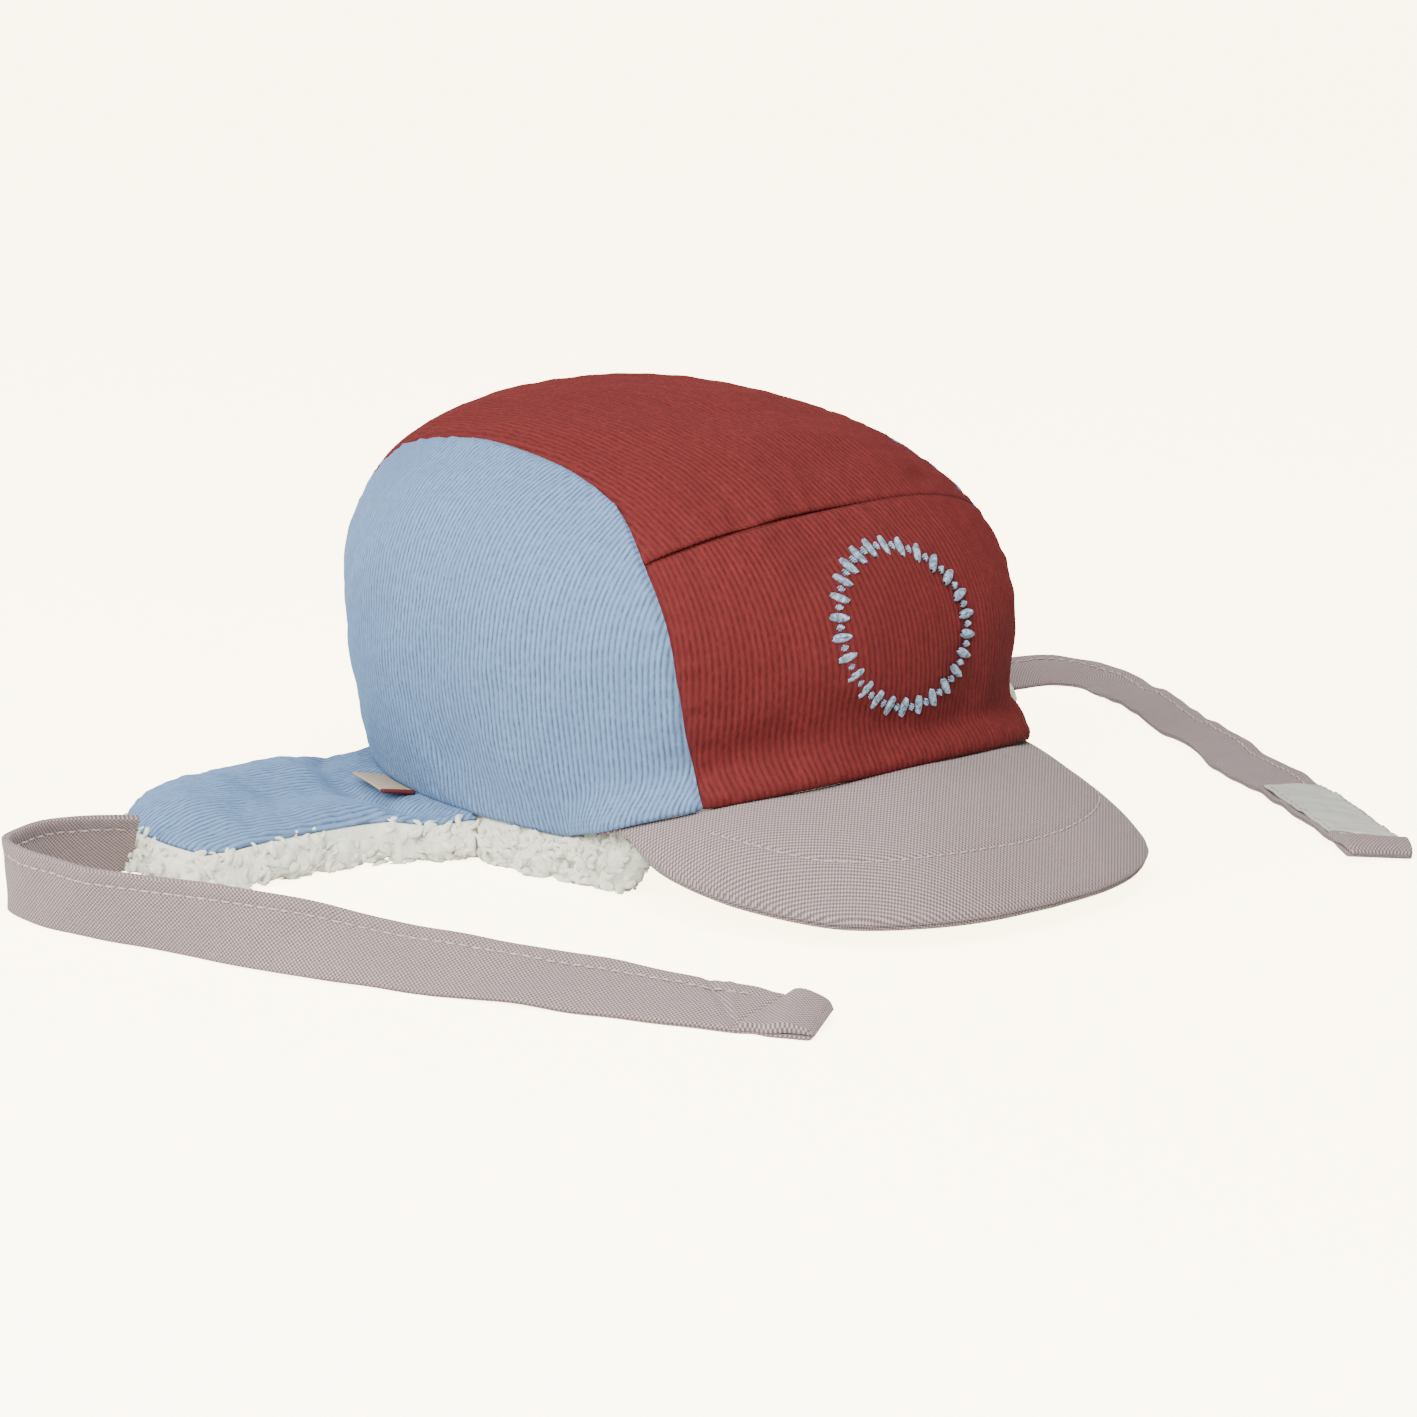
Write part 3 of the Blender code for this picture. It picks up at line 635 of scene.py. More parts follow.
def rim_height(angle):
    """Height of the crown's rim, which arches up over the peak."""
    share = np.clip(np.abs(angle) / RIM_ARCH_ANGLE, 0, 1)
    return RIM_HEIGHT + (FRONT_RIM_HEIGHT - RIM_HEIGHT) * (1 - share**2)


def wall_reach(angle, height, flare):
    """From the middle axis to the lower wall, whose foot is turned out over the peak."""
    rim = rim_height(angle)
    drop = np.clip((WIDEST_HEIGHT - height) / (WIDEST_HEIGHT - rim), 0, 1)
    foot = 1 - ease(np.abs(angle), *FOOT_ANGLES)
    inset = RIM_INSET + (FRONT_INSET - RIM_INSET) * foot
    turned_out = flare * foot * hump(height, rim, FOOT_HEIGHT)
    return outline_reach(angle) - inset * drop**2 + turned_out


def plan_angle(points):
    """Angle round the crown, 0 at its front and growing to its right."""
    return np.degrees(np.arctan2(-points[..., 0], -points[..., 1]))


def fold_depth(points, folds):
    """How deep these points lie in the folds."""
    size = np.array([CROWN_WIDTH / 2, CROWN_FRONT, TOP_HEIGHT])
    total = 0.0
    for side, front, up, length, width, turn, depth in folds:
        away = points - np.array([side, front, up]) * size
        level = unit(np.array([-front, side, 0.0]))
        turn = math.radians(turn)
        run = away @ (level * math.cos(turn) + UP * math.sin(turn))
        beside = np.sqrt(np.maximum((away**2).sum(-1) - run**2, 0))
        share = hump(run, 0, length * CROWN_FRONT) * hump(beside, 0, width * CROWN_FRONT)
        total = total + depth * share
    return total


def plain_crown(points, flare=FOOT_FLARE):
    """These points moved straight out or in to the crown's plain outer surface."""
    slope = 1 + TOP_SLOPE * points[..., 1] / CROWN_BACK
    rise = points[..., 2] - WIDEST_HEIGHT
    rise = np.where(rise > 0, rise / slope, rise)
    angle = plan_angle(points)
    plan = np.maximum(np.hypot(points[..., 0], points[..., 1]), 1e-9)
    m = by_side(angle, WALL_ROUNDNESS)
    up = np.maximum(rise, 0) / (TOP_HEIGHT - WIDEST_HEIGHT)
    upper = ((plan / outline_reach(angle)) ** m + up**m) ** (-1 / m)
    lower = wall_reach(angle, points[..., 2], flare) / plan
    scale = np.where(rise > 0, upper, lower)
    x, y = points[..., 0] * scale, points[..., 1] * scale
    high = rise * upper * (1 + TOP_SLOPE * y / CROWN_BACK)
    return np.stack([x, y, WIDEST_HEIGHT + np.where(rise > 0, high, rise)], -1)


def crown_point(angle, level, flare=FOOT_FLARE):
    """A point of the plain surface by its angle and its level, from -1 at the rim to 1 at the top."""
    angle, level = np.broadcast_arrays(np.asarray(angle, float), np.asarray(level, float))
    m = by_side(angle, WALL_ROUNDNESS)
    turn = np.clip(level, 0, 1) * math.pi / 2
    low = WIDEST_HEIGHT + (WIDEST_HEIGHT - rim_height(angle)) * np.clip(level, -1, 0)
    upper = outline_reach(angle) * np.cos(turn) ** (2 / m)
    reach = np.where(level > 0, upper, wall_reach(angle, low, flare))
    x, y = -reach * np.sin(np.radians(angle)), -reach * np.cos(np.radians(angle))
    rise = (TOP_HEIGHT - WIDEST_HEIGHT) * np.sin(turn) ** (2 / m)
    high = WIDEST_HEIGHT + rise * (1 + TOP_SLOPE * y / CROWN_BACK)
    return np.stack([x, y, np.where(level > 0, high, low)], -1)


def crown_normal(points, flare=FOOT_FLARE, step=0.0003):
    """Outward normals of the plain surface, from how far points near these stand off it."""
    def stand_off(p):
        """How far these points lie beyond the surface."""
        plain = plain_crown(p, flare)
        return np.linalg.norm(p - MIDDLE, axis=-1) - np.linalg.norm(plain - MIDDLE, axis=-1)

    slopes = [stand_off(points + axis * step) - stand_off(points - axis * step)
              for axis in np.eye(3)]
    return unit(np.stack(slopes, -1))


def crown_layer(points, depth, flare=FOOT_FLARE):
    """These points moved to a layer this far below the crown's folded surface."""
    plain = plain_crown(points, flare)
    return plain - crown_normal(plain, flare) * (depth + fold_depth(plain, FOLDS))[..., None]


def seam_line(first, last, steps=16):
    """The right seam, from one row of its table to another."""
    rows = smooth_line(SIDE_SEAM, steps)[first * steps:last * steps + 1]
    return crown_point(rows[:, 0], rows[:, 1])


def left_seam(first, last):
    """The left seam, on the right side. It sits further round over the front than the right one."""
    line = seam_line(first, last)
    share = ease(line[:, 2], 0.042, 0.065) * ease(-line[:, 1], -0.05, -0.01)
    return line - np.array(LEFT_SEAM_SHIFT) * share[:, None]


def cross_line(right, left):
    """The seam over the front, its ends moved to these two corners."""
    line = cross_seam()
    t = np.linspace(0, 1, len(line))[:, None]
    return line + (1 - ease(t, 0, 0.3)) * (right - line[0]) + ease(t, 0.7, 1) * (left - line[-1])


def rim_line(start, end, cells=200):
    """The crown's rim between two angles."""
    return crown_point(np.linspace(start, end, cells + 1), -1.0)


def cross_seam(cells=160):
    """The seam between the front and the top panel."""
    corner = crown_point(*SIDE_SEAM[CROSS_SEAM_ROW])
    centre = crown_point(0.0, CROSS_SEAM_LEVEL)
    t = np.linspace(-1, 1, cells + 1)[:, None]
    sag = np.array([0, 1, 1]) * (corner - centre)
    return plain_crown(centre + sag * t**2 - np.array([1, 0, 0]) * corner[0] * t)


ROUND = np.linspace(-180, 180, 1441)
ROUND_RUN = run_of(np.stack([outline_reach(ROUND) * np.sin(np.radians(ROUND)),
                             outline_reach(ROUND) * np.cos(np.radians(ROUND))], -1))


def round_run(points, middle):
    """Length round the crown from a middle angle, on the points' own level."""
    angle = plan_angle(points)
    spread = np.hypot(points[..., 0], points[..., 1]) / outline_reach(angle)
    return spread * (np.interp(angle, ROUND, ROUND_RUN) - np.interp(middle, ROUND, ROUND_RUN))


# Meshes

class Shape:
    """Points, faces and cloth coordinates, gathered until they become one piece."""

    def __init__(self):
        self.points, self.cloth, self.faces, self.count = [], [], [], 0

    def add_points(self, points, cloth=None):
        flat = np.asarray(points, float).reshape(-1, 3)
        self.points.append(flat)
        self.cloth.append(flat[:, :2] if cloth is None else np.asarray(cloth, float).reshape(-1, 2))
        first = self.count
        self.count += len(flat)
        return np.arange(first, self.count).reshape(np.shape(points)[:-1])

    def grid(self, points, cloth=None, closed=False, flip=False):
        """Adds a grid of points and its faces. A closed one joins its last column to its first."""
        index = self.add_points(points, cloth)
        self.skin(index, closed, flip)
        return index

    def skin(self, index, closed=False, flip=False):
        wide = np.concatenate([index, index[:, :1]], axis=1) if closed else index
        quads = np.stack([wide[:-1, :-1], wide[:-1, 1:], wide[1:, 1:], wide[1:, :-1]], -1)
        quads = quads.reshape(-1, 4)
        self.faces += (quads[:, ::-1] if flip else quads).tolist()

    def cap(self, ring, flip=False):
        """One face over a ring of points."""
        ring = list(map(int, ring))
        self.faces.append(ring[::-1] if flip else ring)

    def border(self, fine, coarse, step, flip=False):
        """Joins a fine grid's edges to a coarse one's. Each coarse cell meets step fine ones."""
        edges = ((fine[0], coarse[0], True), (fine[-1], coarse[-1], False),
                 (fine[:, 0], coarse[:, 0], False), (fine[:, -1], coarse[:, -1], True))
        for outer, inner, turn in edges:
            for k in range(len(inner) - 1):
                ring = [*outer[k * step:(k + 1) * step + 1], inner[k + 1], inner[k]]
                face = list(map(int, ring))
                self.faces.append(face[::-1] if turn != flip else face)

    def copies(self, points, template_faces):
        """Many copies of one small form: points has a row for each copy."""
        index = self.add_points(points)
        for first in index[:, 0].tolist():
            self.faces += [[first + k for k in face] for face in template_faces]

    def piece(self, name, material, slot, replaces=()):
        """Makes the piece, which rides on the cap and stands for these nodes of the solid."""
        mesh = bpy.data.meshes.new(name)
        mesh.from_pydata((np.vstack(self.points) + PLACE).tolist(), [], self.faces)
        corners = np.empty(len(mesh.loops), int)
        mesh.loops.foreach_get("vertex_index", corners)
        layer = mesh.uv_layers.new(name="cloth")
        layer.data.foreach_set("uv", np.vstack(self.cloth)[corners].astype(np.float32).ravel())
        mesh.materials.append(material)
        mesh.shade_smooth()
        mesh.validate()
        made = add_object(name, mesh)
        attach(made, "root")
        if replaces:
            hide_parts(*replaces)
        return made


def cloth_sheet(shape, outer, inner, cloth, step, flip=False):
    """A fine outer face and a coarse inner one, closed round their edges."""
    fine = shape.grid(outer, cloth, flip=flip)
    coarse = shape.grid(inner, cloth[::step, ::step], flip=not flip)
    shape.border(fine, coarse, step, flip)


def tube_form(path, radius, sides):
    """Rings of points round a path. The radius may vary along it."""
    run = unit(np.gradient(path, axis=0))
    side = unit(np.cross(run, np.array([0.13, 0.29, 0.95])))
    top = np.cross(side, run)
    turn = np.linspace(0, 2 * math.pi, sides, endpoint=False)[None, :, None]
    radius = np.broadcast_to(radius, len(path))[:, None, None]
    return path[:, None] + (side[:, None] * np.cos(turn) + top[:, None] * np.sin(turn)) * radius


def ring_faces(rings, sides):
    """Faces of a tube of rings, closed at both ends."""
    faces = []
    for r in range(rings - 1):
        for k in range(sides):
            n = (k + 1) % sides
            faces.append((r * sides + k, r * sides + n, (r + 1) * sides + n, (r + 1) * sides + k))
    faces.append(tuple(range(sides))[::-1])
    faces.append(tuple(range((rings - 1) * sides, rings * sides)))
    return faces


def stitches(shape, path, normals, radius, gap):
    """Short stitches along a path, each dipping into the cloth at its ends."""
    rings, sides = 6, 6
    run = run_of(path)
    length = sizes().stitch
    count = max(int(run[-1] / (length + gap)), 1)
    share = np.linspace(-0.5, 0.5, rings)
    starts = (np.arange(count) + 0.5) * (length + gap)
    at = (starts[:, None] + share[None] * length) / run[-1]
    centre = along(path, at.ravel()).reshape(count, rings, 3)
    normal = unit(along(normals, at.ravel()).reshape(count, rings, 3))
    way = unit(centre[:, -1:] - centre[:, :1]) * np.ones((1, rings, 1))
    side = unit(np.cross(way, normal))
    lift = (1 - (2 * share) ** 4)[None, :, None] * radius * 1.5 - radius * 0.6
    turn = np.linspace(0, 2 * math.pi, sides, endpoint=False)
    thick = (radius * np.sqrt(1.02 - (2 * share) ** 4))[None, :, None, None]
    points = (centre + normal * lift)[:, :, None] + (
        side[:, :, None] * np.cos(turn)[None, None, :, None]
        + normal[:, :, None] * np.sin(turn)[None, None, :, None] * 0.8) * thick
    shape.copies(points.reshape(count, rings * sides, 3), ring_faces(rings, sides))


def lumps(points, normals, sorts, rng, share=1.0):
    """Points raised into rounded lumps of these sorts, the pile's clumps of curls."""
    for count, spread, radius, height in sorts:
        flat = points.reshape(-1, 3)
        seeds = flat[rng.integers(0, len(flat), count)] + rng.normal(size=(count, 3)) * spread
        tree = KDTree(count)
        for k, seed in enumerate(seeds):
            tree.insert(seed, k)
        tree.balance()
        full = rng.uniform(0.55, 1.0, count)
        rise = np.empty(len(flat))
        for k, point in enumerate(flat.tolist()):
            _, near, away = tree.find(point)
            rise[k] = full[near] * math.sqrt(max(1 - (away / radius) ** 2, 0.0))
        rise = (rise.reshape(points.shape[:-1]) - 0.35) * (height * share)
        points = points + normals * rise[..., None]
    return points


def curls(rows, normals, count, rng, size=1.0):
    """Tapered locks of wool that lie on these rows of the pile and lift off it at their tips."""
    shape = Shape()
    pick = rng.integers(0, rows.shape[0] * rows.shape[1], count)
    centres, normals = rows.reshape(-1, 3)[pick], normals.reshape(-1, 3)[pick]
    rings, sides, kinds = 5, 6, 7
    for kind in range(kinds):
        turns = rng.uniform(0.2, 0.6)
        t = np.linspace(0, 1, rings)
        bend = t * turns * 2 * math.pi
        path = np.stack([np.sin(bend), (t - 0.5) * rng.uniform(1.2, 2.8),
                         (1 - np.cos(bend)) * 0.25 - 0.30], -1)
        taper = np.sqrt(np.sin(np.clip(t * 0.9 + 0.05, 0.06, 0.96) * math.pi))
        thick = rng.uniform(0.38, 0.66) * taper
        form = tube_form(path, thick, sides).reshape(-1, 3)
        mine = np.arange(kind, count, kinds)
        normal = unit(normals[mine] + rng.normal(size=(len(mine), 3)) * 0.25)
        side = unit(np.cross(normal, unit(rng.normal(size=(len(mine), 3)))))
        along_it = np.cross(normal, side)
        scale = (sizes().curl * size * rng.uniform(0.6, 1.3, len(mine)))[:, None, None]
        points = (form[None, :, :1] * side[:, None] + form[None, :, 1:2] * along_it[:, None]
                  + form[None, :, 2:] * normal[:, None]) * scale
        points = points + centres[mine][:, None]
        points[..., 2] = np.maximum(points[..., 2], 2 * FLOOR_CLEARANCE)
        shape.copies(points, ring_faces(rings, sides))
    return shape


# Crown panels

def wale_relief(across, pitch):
    """Height of the corduroy's ribs at this distance across them."""
    crest = 0.5 + 0.5 * np.cos(2 * math.pi * across / pitch)
    return sizes().wale_depth * (crest**0.6 - 0.6)


def seam_relief(grid, seed, dips):
    """How far seams draw the cloth in and pucker it, and the distance to the nearest seam.

    Dips are shares of the seam depth at the left, right, bottom and top edges.
    """
    across, up, away = grid_runs(grid)
    rng = np.random.default_rng(seed)
    total = 0.0
    for k, (distance, dip) in enumerate(zip(away, dips)):
        run = up if k < 2 else across
        turned_in = dip * sizes().seam_dip * hump(distance, 0, SEAM_WIDTH)
        long, short = [np.sin(run * 2 * math.pi / wave + rng.uniform(0, 6)) for wave in PUCKER_WAVES]
        waves = long + 0.6 * short
        beside = np.exp(-distance / PUCKER_REACH) * ease(distance, 0, PUCKER_START)
        total = total - turned_in + sizes().pucker * waves * beside
    return total, np.minimum.reduce(away)


def crown_panel(name, node, grid, across, pitch, material, slot, seed, dips, flip=False):
    """A panel of ribbed cloth over this grid, sewn in at its edges."""
    plain = plain_crown(grid)
    normal = crown_normal(plain)
    seams, edge = seam_relief(plain, seed, dips)
    height = (seams + wale_relief(across, pitch) * (0.15 + 0.85 * ease(edge, 0, 0.003))
              - fold_depth(plain, FOLDS) - fold_depth(plain, CREASES)
              + 0.0005 * ripple(plain, 0.034, seed) * ease(edge, 0, 0.012)
              + 0.00018 * ripple(plain, 0.011, seed + 1) * ease(edge, 0, 0.008))
    outer = plain + normal * height[..., None]
    inner = crown_layer(plain[::COARSE, ::COARSE], CLOTH_WALL)
    _, up, _ = grid_runs(plain)
    cloth = np.stack([across, up], -1)
    shape = Shape()
    if flip:
        outer, inner = mirrored(outer), mirrored(inner)
    cloth_sheet(shape, outer, inner, cloth, COARSE, flip)
    shape.piece(name, material, slot, [node])


def make_side_panels(material):
    """Two blue panels from the rim up to the top panel's seams."""
    last = len(SIDE_SEAM) - 1
    top_front, top_back = PANEL_TOP_ROWS
    for side, seam in (("right", seam_line), ("left", left_seam)):
        grid = patch(rim_line(SIDE_SEAM[0][0], SIDE_SEAM[-1][0]), seam(top_front, top_back),
                     seam(0, top_front), seam(top_back, last)[::-1], *SIDE_GRID)
        across = round_run(plain_crown(grid), SIDE_MIDDLE)
        crown_panel(f"side_cloth_{side}", f"side_panel_{side}", grid, across, sizes().blue_pitch,
                    material, "blue_corduroy", SEEDS["side"], (1.0, 1.0, 0.25, 1.0), side == "left")


def make_front_panel(material):
    """The red panel over the peak."""
    right = seam_line(0, CROSS_SEAM_ROW)
    start = SIDE_SEAM[0][0]
    left = mirrored(left_seam(0, CROSS_SEAM_ROW))
    grid = patch(rim_line(start, -start), cross_line(right[-1], left[-1]), right, left, *FRONT_GRID)
    fading = 1.5 - 1.2 * ease(np.linspace(0, 1, FRONT_GRID[0]), 0.25, 0.7)[None]
    across = round_run(plain_crown(grid), 0.0)
    crown_panel("front_cloth", "front_panel", grid, across, sizes().red_pitch, material,
                "red_corduroy", SEEDS["front"], (1.0, 1.0, 0.3, fading))


def make_top_panel(material):
    """The red strip over the top and down the back."""
    last = len(SIDE_SEAM) - 1
    right = seam_line(CROSS_SEAM_ROW, last)
    left = mirrored(left_seam(CROSS_SEAM_ROW, last))
    end = SIDE_SEAM[-1][0]
    grid = patch(cross_line(right[0], left[0]), rim_line(end, 360 - end), right, left, *TOP_GRID)
    x = plain_crown(grid)[..., 0]
    across = x * (1 + 0.10 * (x / 0.055) ** 2)
    crown_panel("top_cloth", "top_panel", grid, across, sizes().red_pitch, material, "red_corduroy",
                SEEDS["top"], (1.0, 1.0, 0.1, 1.0))


# Peak

def peak_surface(across, rows):
    """The peak's upper face, from its root to its edge, and its wall there."""
    half = smooth_line(PEAK_EDGE)
    end = crown_point(PEAK_END_ANGLE, -1.0)
    forward = -end[1] + (PEAK_TIP + end[1]) * half[:, 1]
    right = np.stack([-half[:, 0] * PEAK_HALF_WIDTH, -forward, half[:, 2]], -1)
    s = np.linspace(0, 1, across)
    edge = along(np.vstack([right, mirrored(right)[-2::-1]]), s)
    root = along(rim_line(PEAK_END_ANGLE, -PEAK_END_ANGLE), s)
    inward = -unit(root * LEVEL)
    root = root + inward * PEAK_TUCK - UP * SEAM_GAP
    edge[0] = root[0] - inward[0] * PEAK_END_WIDTH
    edge[-1] = root[-1] - inward[-1] * PEAK_END_WIDTH
    # The right side of the peak is bent up a little more than the left
    ahead, right_side = -edge[:, 1], edge[:, 0] < 0
    bent = ease(ahead, 0.058, 0.067) * (1 - ease(ahead, 0.080, 0.135)) * right_side
    edge[:, 2] += PEAK_BEND * bent
    out = np.linspace(0, 1, rows)[:, None, None]
    top = root * (1 - out) + edge * out
    length = np.linalg.norm(edge - root, axis=-1)
    top[..., 2] += PEAK_BULGE * (4 * out * (1 - out))[..., 0] * np.minimum(length / PEAK_LENGTH, 1)
    wall = PEAK_WALL + (PEAK_EDGE_WALL - PEAK_WALL) * ease(out[..., 0], 0.9, 1.0)
    return top, wall * np.ones(across)


def make_peak(material, thread_material):
    """Two layers of canvas with a row of stitches along the edge."""
    columns, inside = PEAK_GRID[0], 60
    top, wall = peak_surface(*PEAK_GRID)
    _, _, away = grid_runs(top)
    normal = grid_normals(top)
    normal = normal * np.sign(normal[inside, columns // 2, 2])
    normal[0] = UP
    out = away[3]
    height = (0.00045 * ripple(top, 0.040, SEEDS["peak"]) * ease(out, 0, 0.01)
              - 0.0004 * hump(out, PEAK_STITCH_IN, 0.0009) * ease(away[2], 0.006, 0.014)
              - 0.0006 * hump(out, 0, 0.0011))
    upper = top + normal * height[..., None]
    rim = upper[-1]
    outward = unit(np.cross(normal[-1], np.gradient(rim, axis=0)))
    outward = outward * np.sign((outward * (rim - upper[inside])).sum())
    ends = ease(np.minimum(np.arange(columns), np.arange(columns)[::-1]), 4, 40)[:, None]
    wall = wall * (0.2 + 0.8 * ends[:, 0])
    wall_edge = wall[-1][:, None]
    under = top - normal * wall[..., None]
    # Round the edge, with a groove between the two layers: how far out, share of the wall
    profile = ((0.10, 0.16), (0.12, 0.34), (-0.70, 0.42), (-0.65, 0.56), (0.30, 0.64), (0.38, 0.84),
               (0.18, 1.0))
    edge = np.array([rim + outward * PEAK_EDGE_WALL * a * ends - normal[-1] * wall_edge * b
                     for a, b in profile])
    grid = np.concatenate([upper, edge, under[::-10]])
    cloth = grid[..., :2].copy()
    rolled = np.cumsum(np.linalg.norm(np.diff(np.array([rim, *edge]), axis=0), axis=-1), axis=0)
    cloth[len(upper):len(upper) + len(edge)] = (
        rim[:, :2] + unit(outward * LEVEL)[:, :2] * rolled[..., None])
    shape = Shape()
    index = shape.grid(grid, cloth)
    shape.faces += np.stack([index[-1, :-1], index[-1, 1:], index[0, 1:], index[0, :-1]], -1).tolist()
    shape.cap(index[:, 0], flip=False)
    shape.cap(index[:, -1], flip=True)
    shape.piece("peak_cloth", material, "grey_canvas", ["peak"])

    line, face = [], []
    for column in range(26, columns - 26):
        run = out[:, column]
        if run[0] < PEAK_STITCH_IN + 0.010:
            continue
        row = np.interp(-PEAK_STITCH_IN, -run, np.arange(len(run)))
        low = int(row)
        line.append(upper[low, column] * (low + 1 - row) + upper[low + 1, column] * (row - low))
        face.append(normal[low, column])
    sewn = Shape()
    stitches(sewn, np.array(line), np.array(face), radius=0.00024, gap=0.0006)
    sewn.piece("peak_stitches", thread_material, "grey_canvas")


# Pile lining

def skirt_foot(angle):
    """Height of the pile's foot, which rises out of sight behind the peak."""
    front = 1 - ease(np.abs(angle), *SKIRT_ANGLES)
    return (rim_height(angle) - FRONT_SKIRT) * front


def make_lining(material):
    """The dome's curly inside and the skirt that shows below the crown."""
    seed = SEEDS["lining"]
    rng = np.random.default_rng(seed)
    angles = np.linspace(-180, 180, 601)[:-1]
    levels = np.concatenate([np.linspace(-1, 0, 6), np.linspace(0.15, 0.985, 9)])
    dome = crown_point(angles[None], levels[:, None], flare=0)
    outer = crown_layer(dome, CLOTH_WALL + LINING_GAP, flare=0)[::-1]
    inner = crown_layer(dome, CLOTH_WALL + LINING_GAP + PILE_WALL * 0.75, flare=0)
    rim_out, rim_in = outer[-1], inner[0]
    turn = np.radians(angles)
    circle = np.stack([np.sin(turn), np.cos(turn), 0 * turn], -1) * 0.08
    ragged = np.clip(ripple(circle, 0.013, seed + 3) + 0.1, 0, 1.1) * ease(np.abs(angles), 50, 60)
    foot = skirt_foot(angles) + 0.0032 * ragged
    first_angle, last_angle = FLAP_ROOT_ANGLES
    # The skirt is free between the flaps' roots, and hidden behind them
    free = 1 - (ease(np.abs(angles), first_angle - 3, first_angle + 1)
                * ease(-np.abs(angles), -last_angle, 4 - last_angle))
    middle, half = (rim_out + rim_in) / 2, (rim_out - rim_in) / 2
    drop = (rim_out[:, 2] - foot)[:, None]
    # Down the skirt's outer side, round its foot and up inside: side, share of the way down
    profile = [(1.0, low) for low in np.linspace(0.07, 0.66, 9)]
    profile += [(math.cos(turn), 0.68 + 0.32 * math.sin(turn))
                for turn in np.linspace(0.2, math.pi - 0.2, 11)]
    profile += [(-1.0, low) for low in np.linspace(0.6, 0.1, 5)]
    swell = (0.9 * free - 0.35)[:, None]
    band = np.array([middle + half * side * (1 + swell * math.sin(math.pi * min(low, 0.85) ** 0.8))
                     - UP * drop * low for side, low in profile])
    grid = np.concatenate([outer, band, inner])
    normal = grid_normals(grid, closed=True)
    normal = normal * np.sign((normal[5, 5] * (grid[5, 5] - MIDDLE)).sum())
    first = len(outer)
    live = grid[first:]
    below = (ease(np.arange(len(live)), -1.0, 2.5)[:, None] * (0.15 + 0.85 * free)
             * ease(np.abs(angles), 40, 48))
    raised = lumps(live, normal[first:], LINING_LUMPS, rng, below)
    fluff = 0.0006 * ripple(live, 0.0045, seed + 1) + 0.0005 * ripple(live, 0.010, seed + 2)
    raised += normal[first:] * (fluff * below)[..., None]
    raised[..., 2] = np.maximum(raised[..., 2], FLOOR_CLEARANCE)
    shape = Shape()
    index = shape.grid(np.concatenate([grid[:first], raised]), closed=True)
    shape.cap(index[0], flip=False)
    shape.cap(index[-1], flip=True)
    shape.piece("lining_pile", material, "white_pile", ["crown_lining"])

    seen = (np.abs(angles) > 46) & (free > 0.5)
    rows, faces = raised[2:19][:, seen], normal[first + 2:first + 19][:, seen]
    curls(rows, faces, LINING_CURLS, rng).piece("lining_curls", material, "white_pile")


# Ear flaps

def flap_outline():
    """The right flap from above: its root, tip, front edge and back edge."""
    start, end = FLAP_ROOT_ANGLES
    root = rim_line(start, end)[:, :2]
    root = root - unit(root) * (CLOTH_WALL + LINING_GAP / 2 - 0.0012 - SEAM_GAP)
    origin = np.array([crown_point(90.0, -1.0)[0], FLAP_MIDDLE])

    def placed(rows):
        """Shares of the flap's length and width as places."""
        line = smooth_line(rows)
        return origin + np.stack([-line[:, 0] * FLAP_LENGTH, line[:, 1] * FLAP_WIDTH], -1)

    front = np.vstack([root[:1], placed(FLAP_FRONT_EDGE)])
    back = np.vstack([root[-1:], placed(FLAP_BACK_EDGE)])
    return root, placed(FLAP_TIP), front, back


def flap_height(a, b):
    """Height of the flap's top, a along its root from the front and b out from it, as shares."""
    edge = FLAP_PAD + CLOTH_WALL
    arch = np.sin(math.pi * np.clip(a * 0.80 + 0.1, 0, 1)) ** 0.8
    rise = FLAP_BULGE * arch * (1 - ease(b, 0.75, 1.15))
    height = edge + rise * ease(b, 0.0, 0.35) - FLAP_DENT * hump(a, 0.38, 0.2) * hump(b, 0.30, 0.16)
    root = RIM_HEIGHT + 0.0002
    return root + (height - root) * ease(b, 0.0, 0.22)


def flap_faces(across, out):
    """The flap's upper face as a grid, its root first."""
    lines = [np.column_stack([line, np.zeros(len(line))]) for line in flap_outline()]
    plan = patch(*lines, across, out)
    a, b = np.linspace(0, 1, across)[None], np.linspace(0, 1, out)[:, None]
    plan[..., 2] = flap_height(a, b)
    return plan, a, b


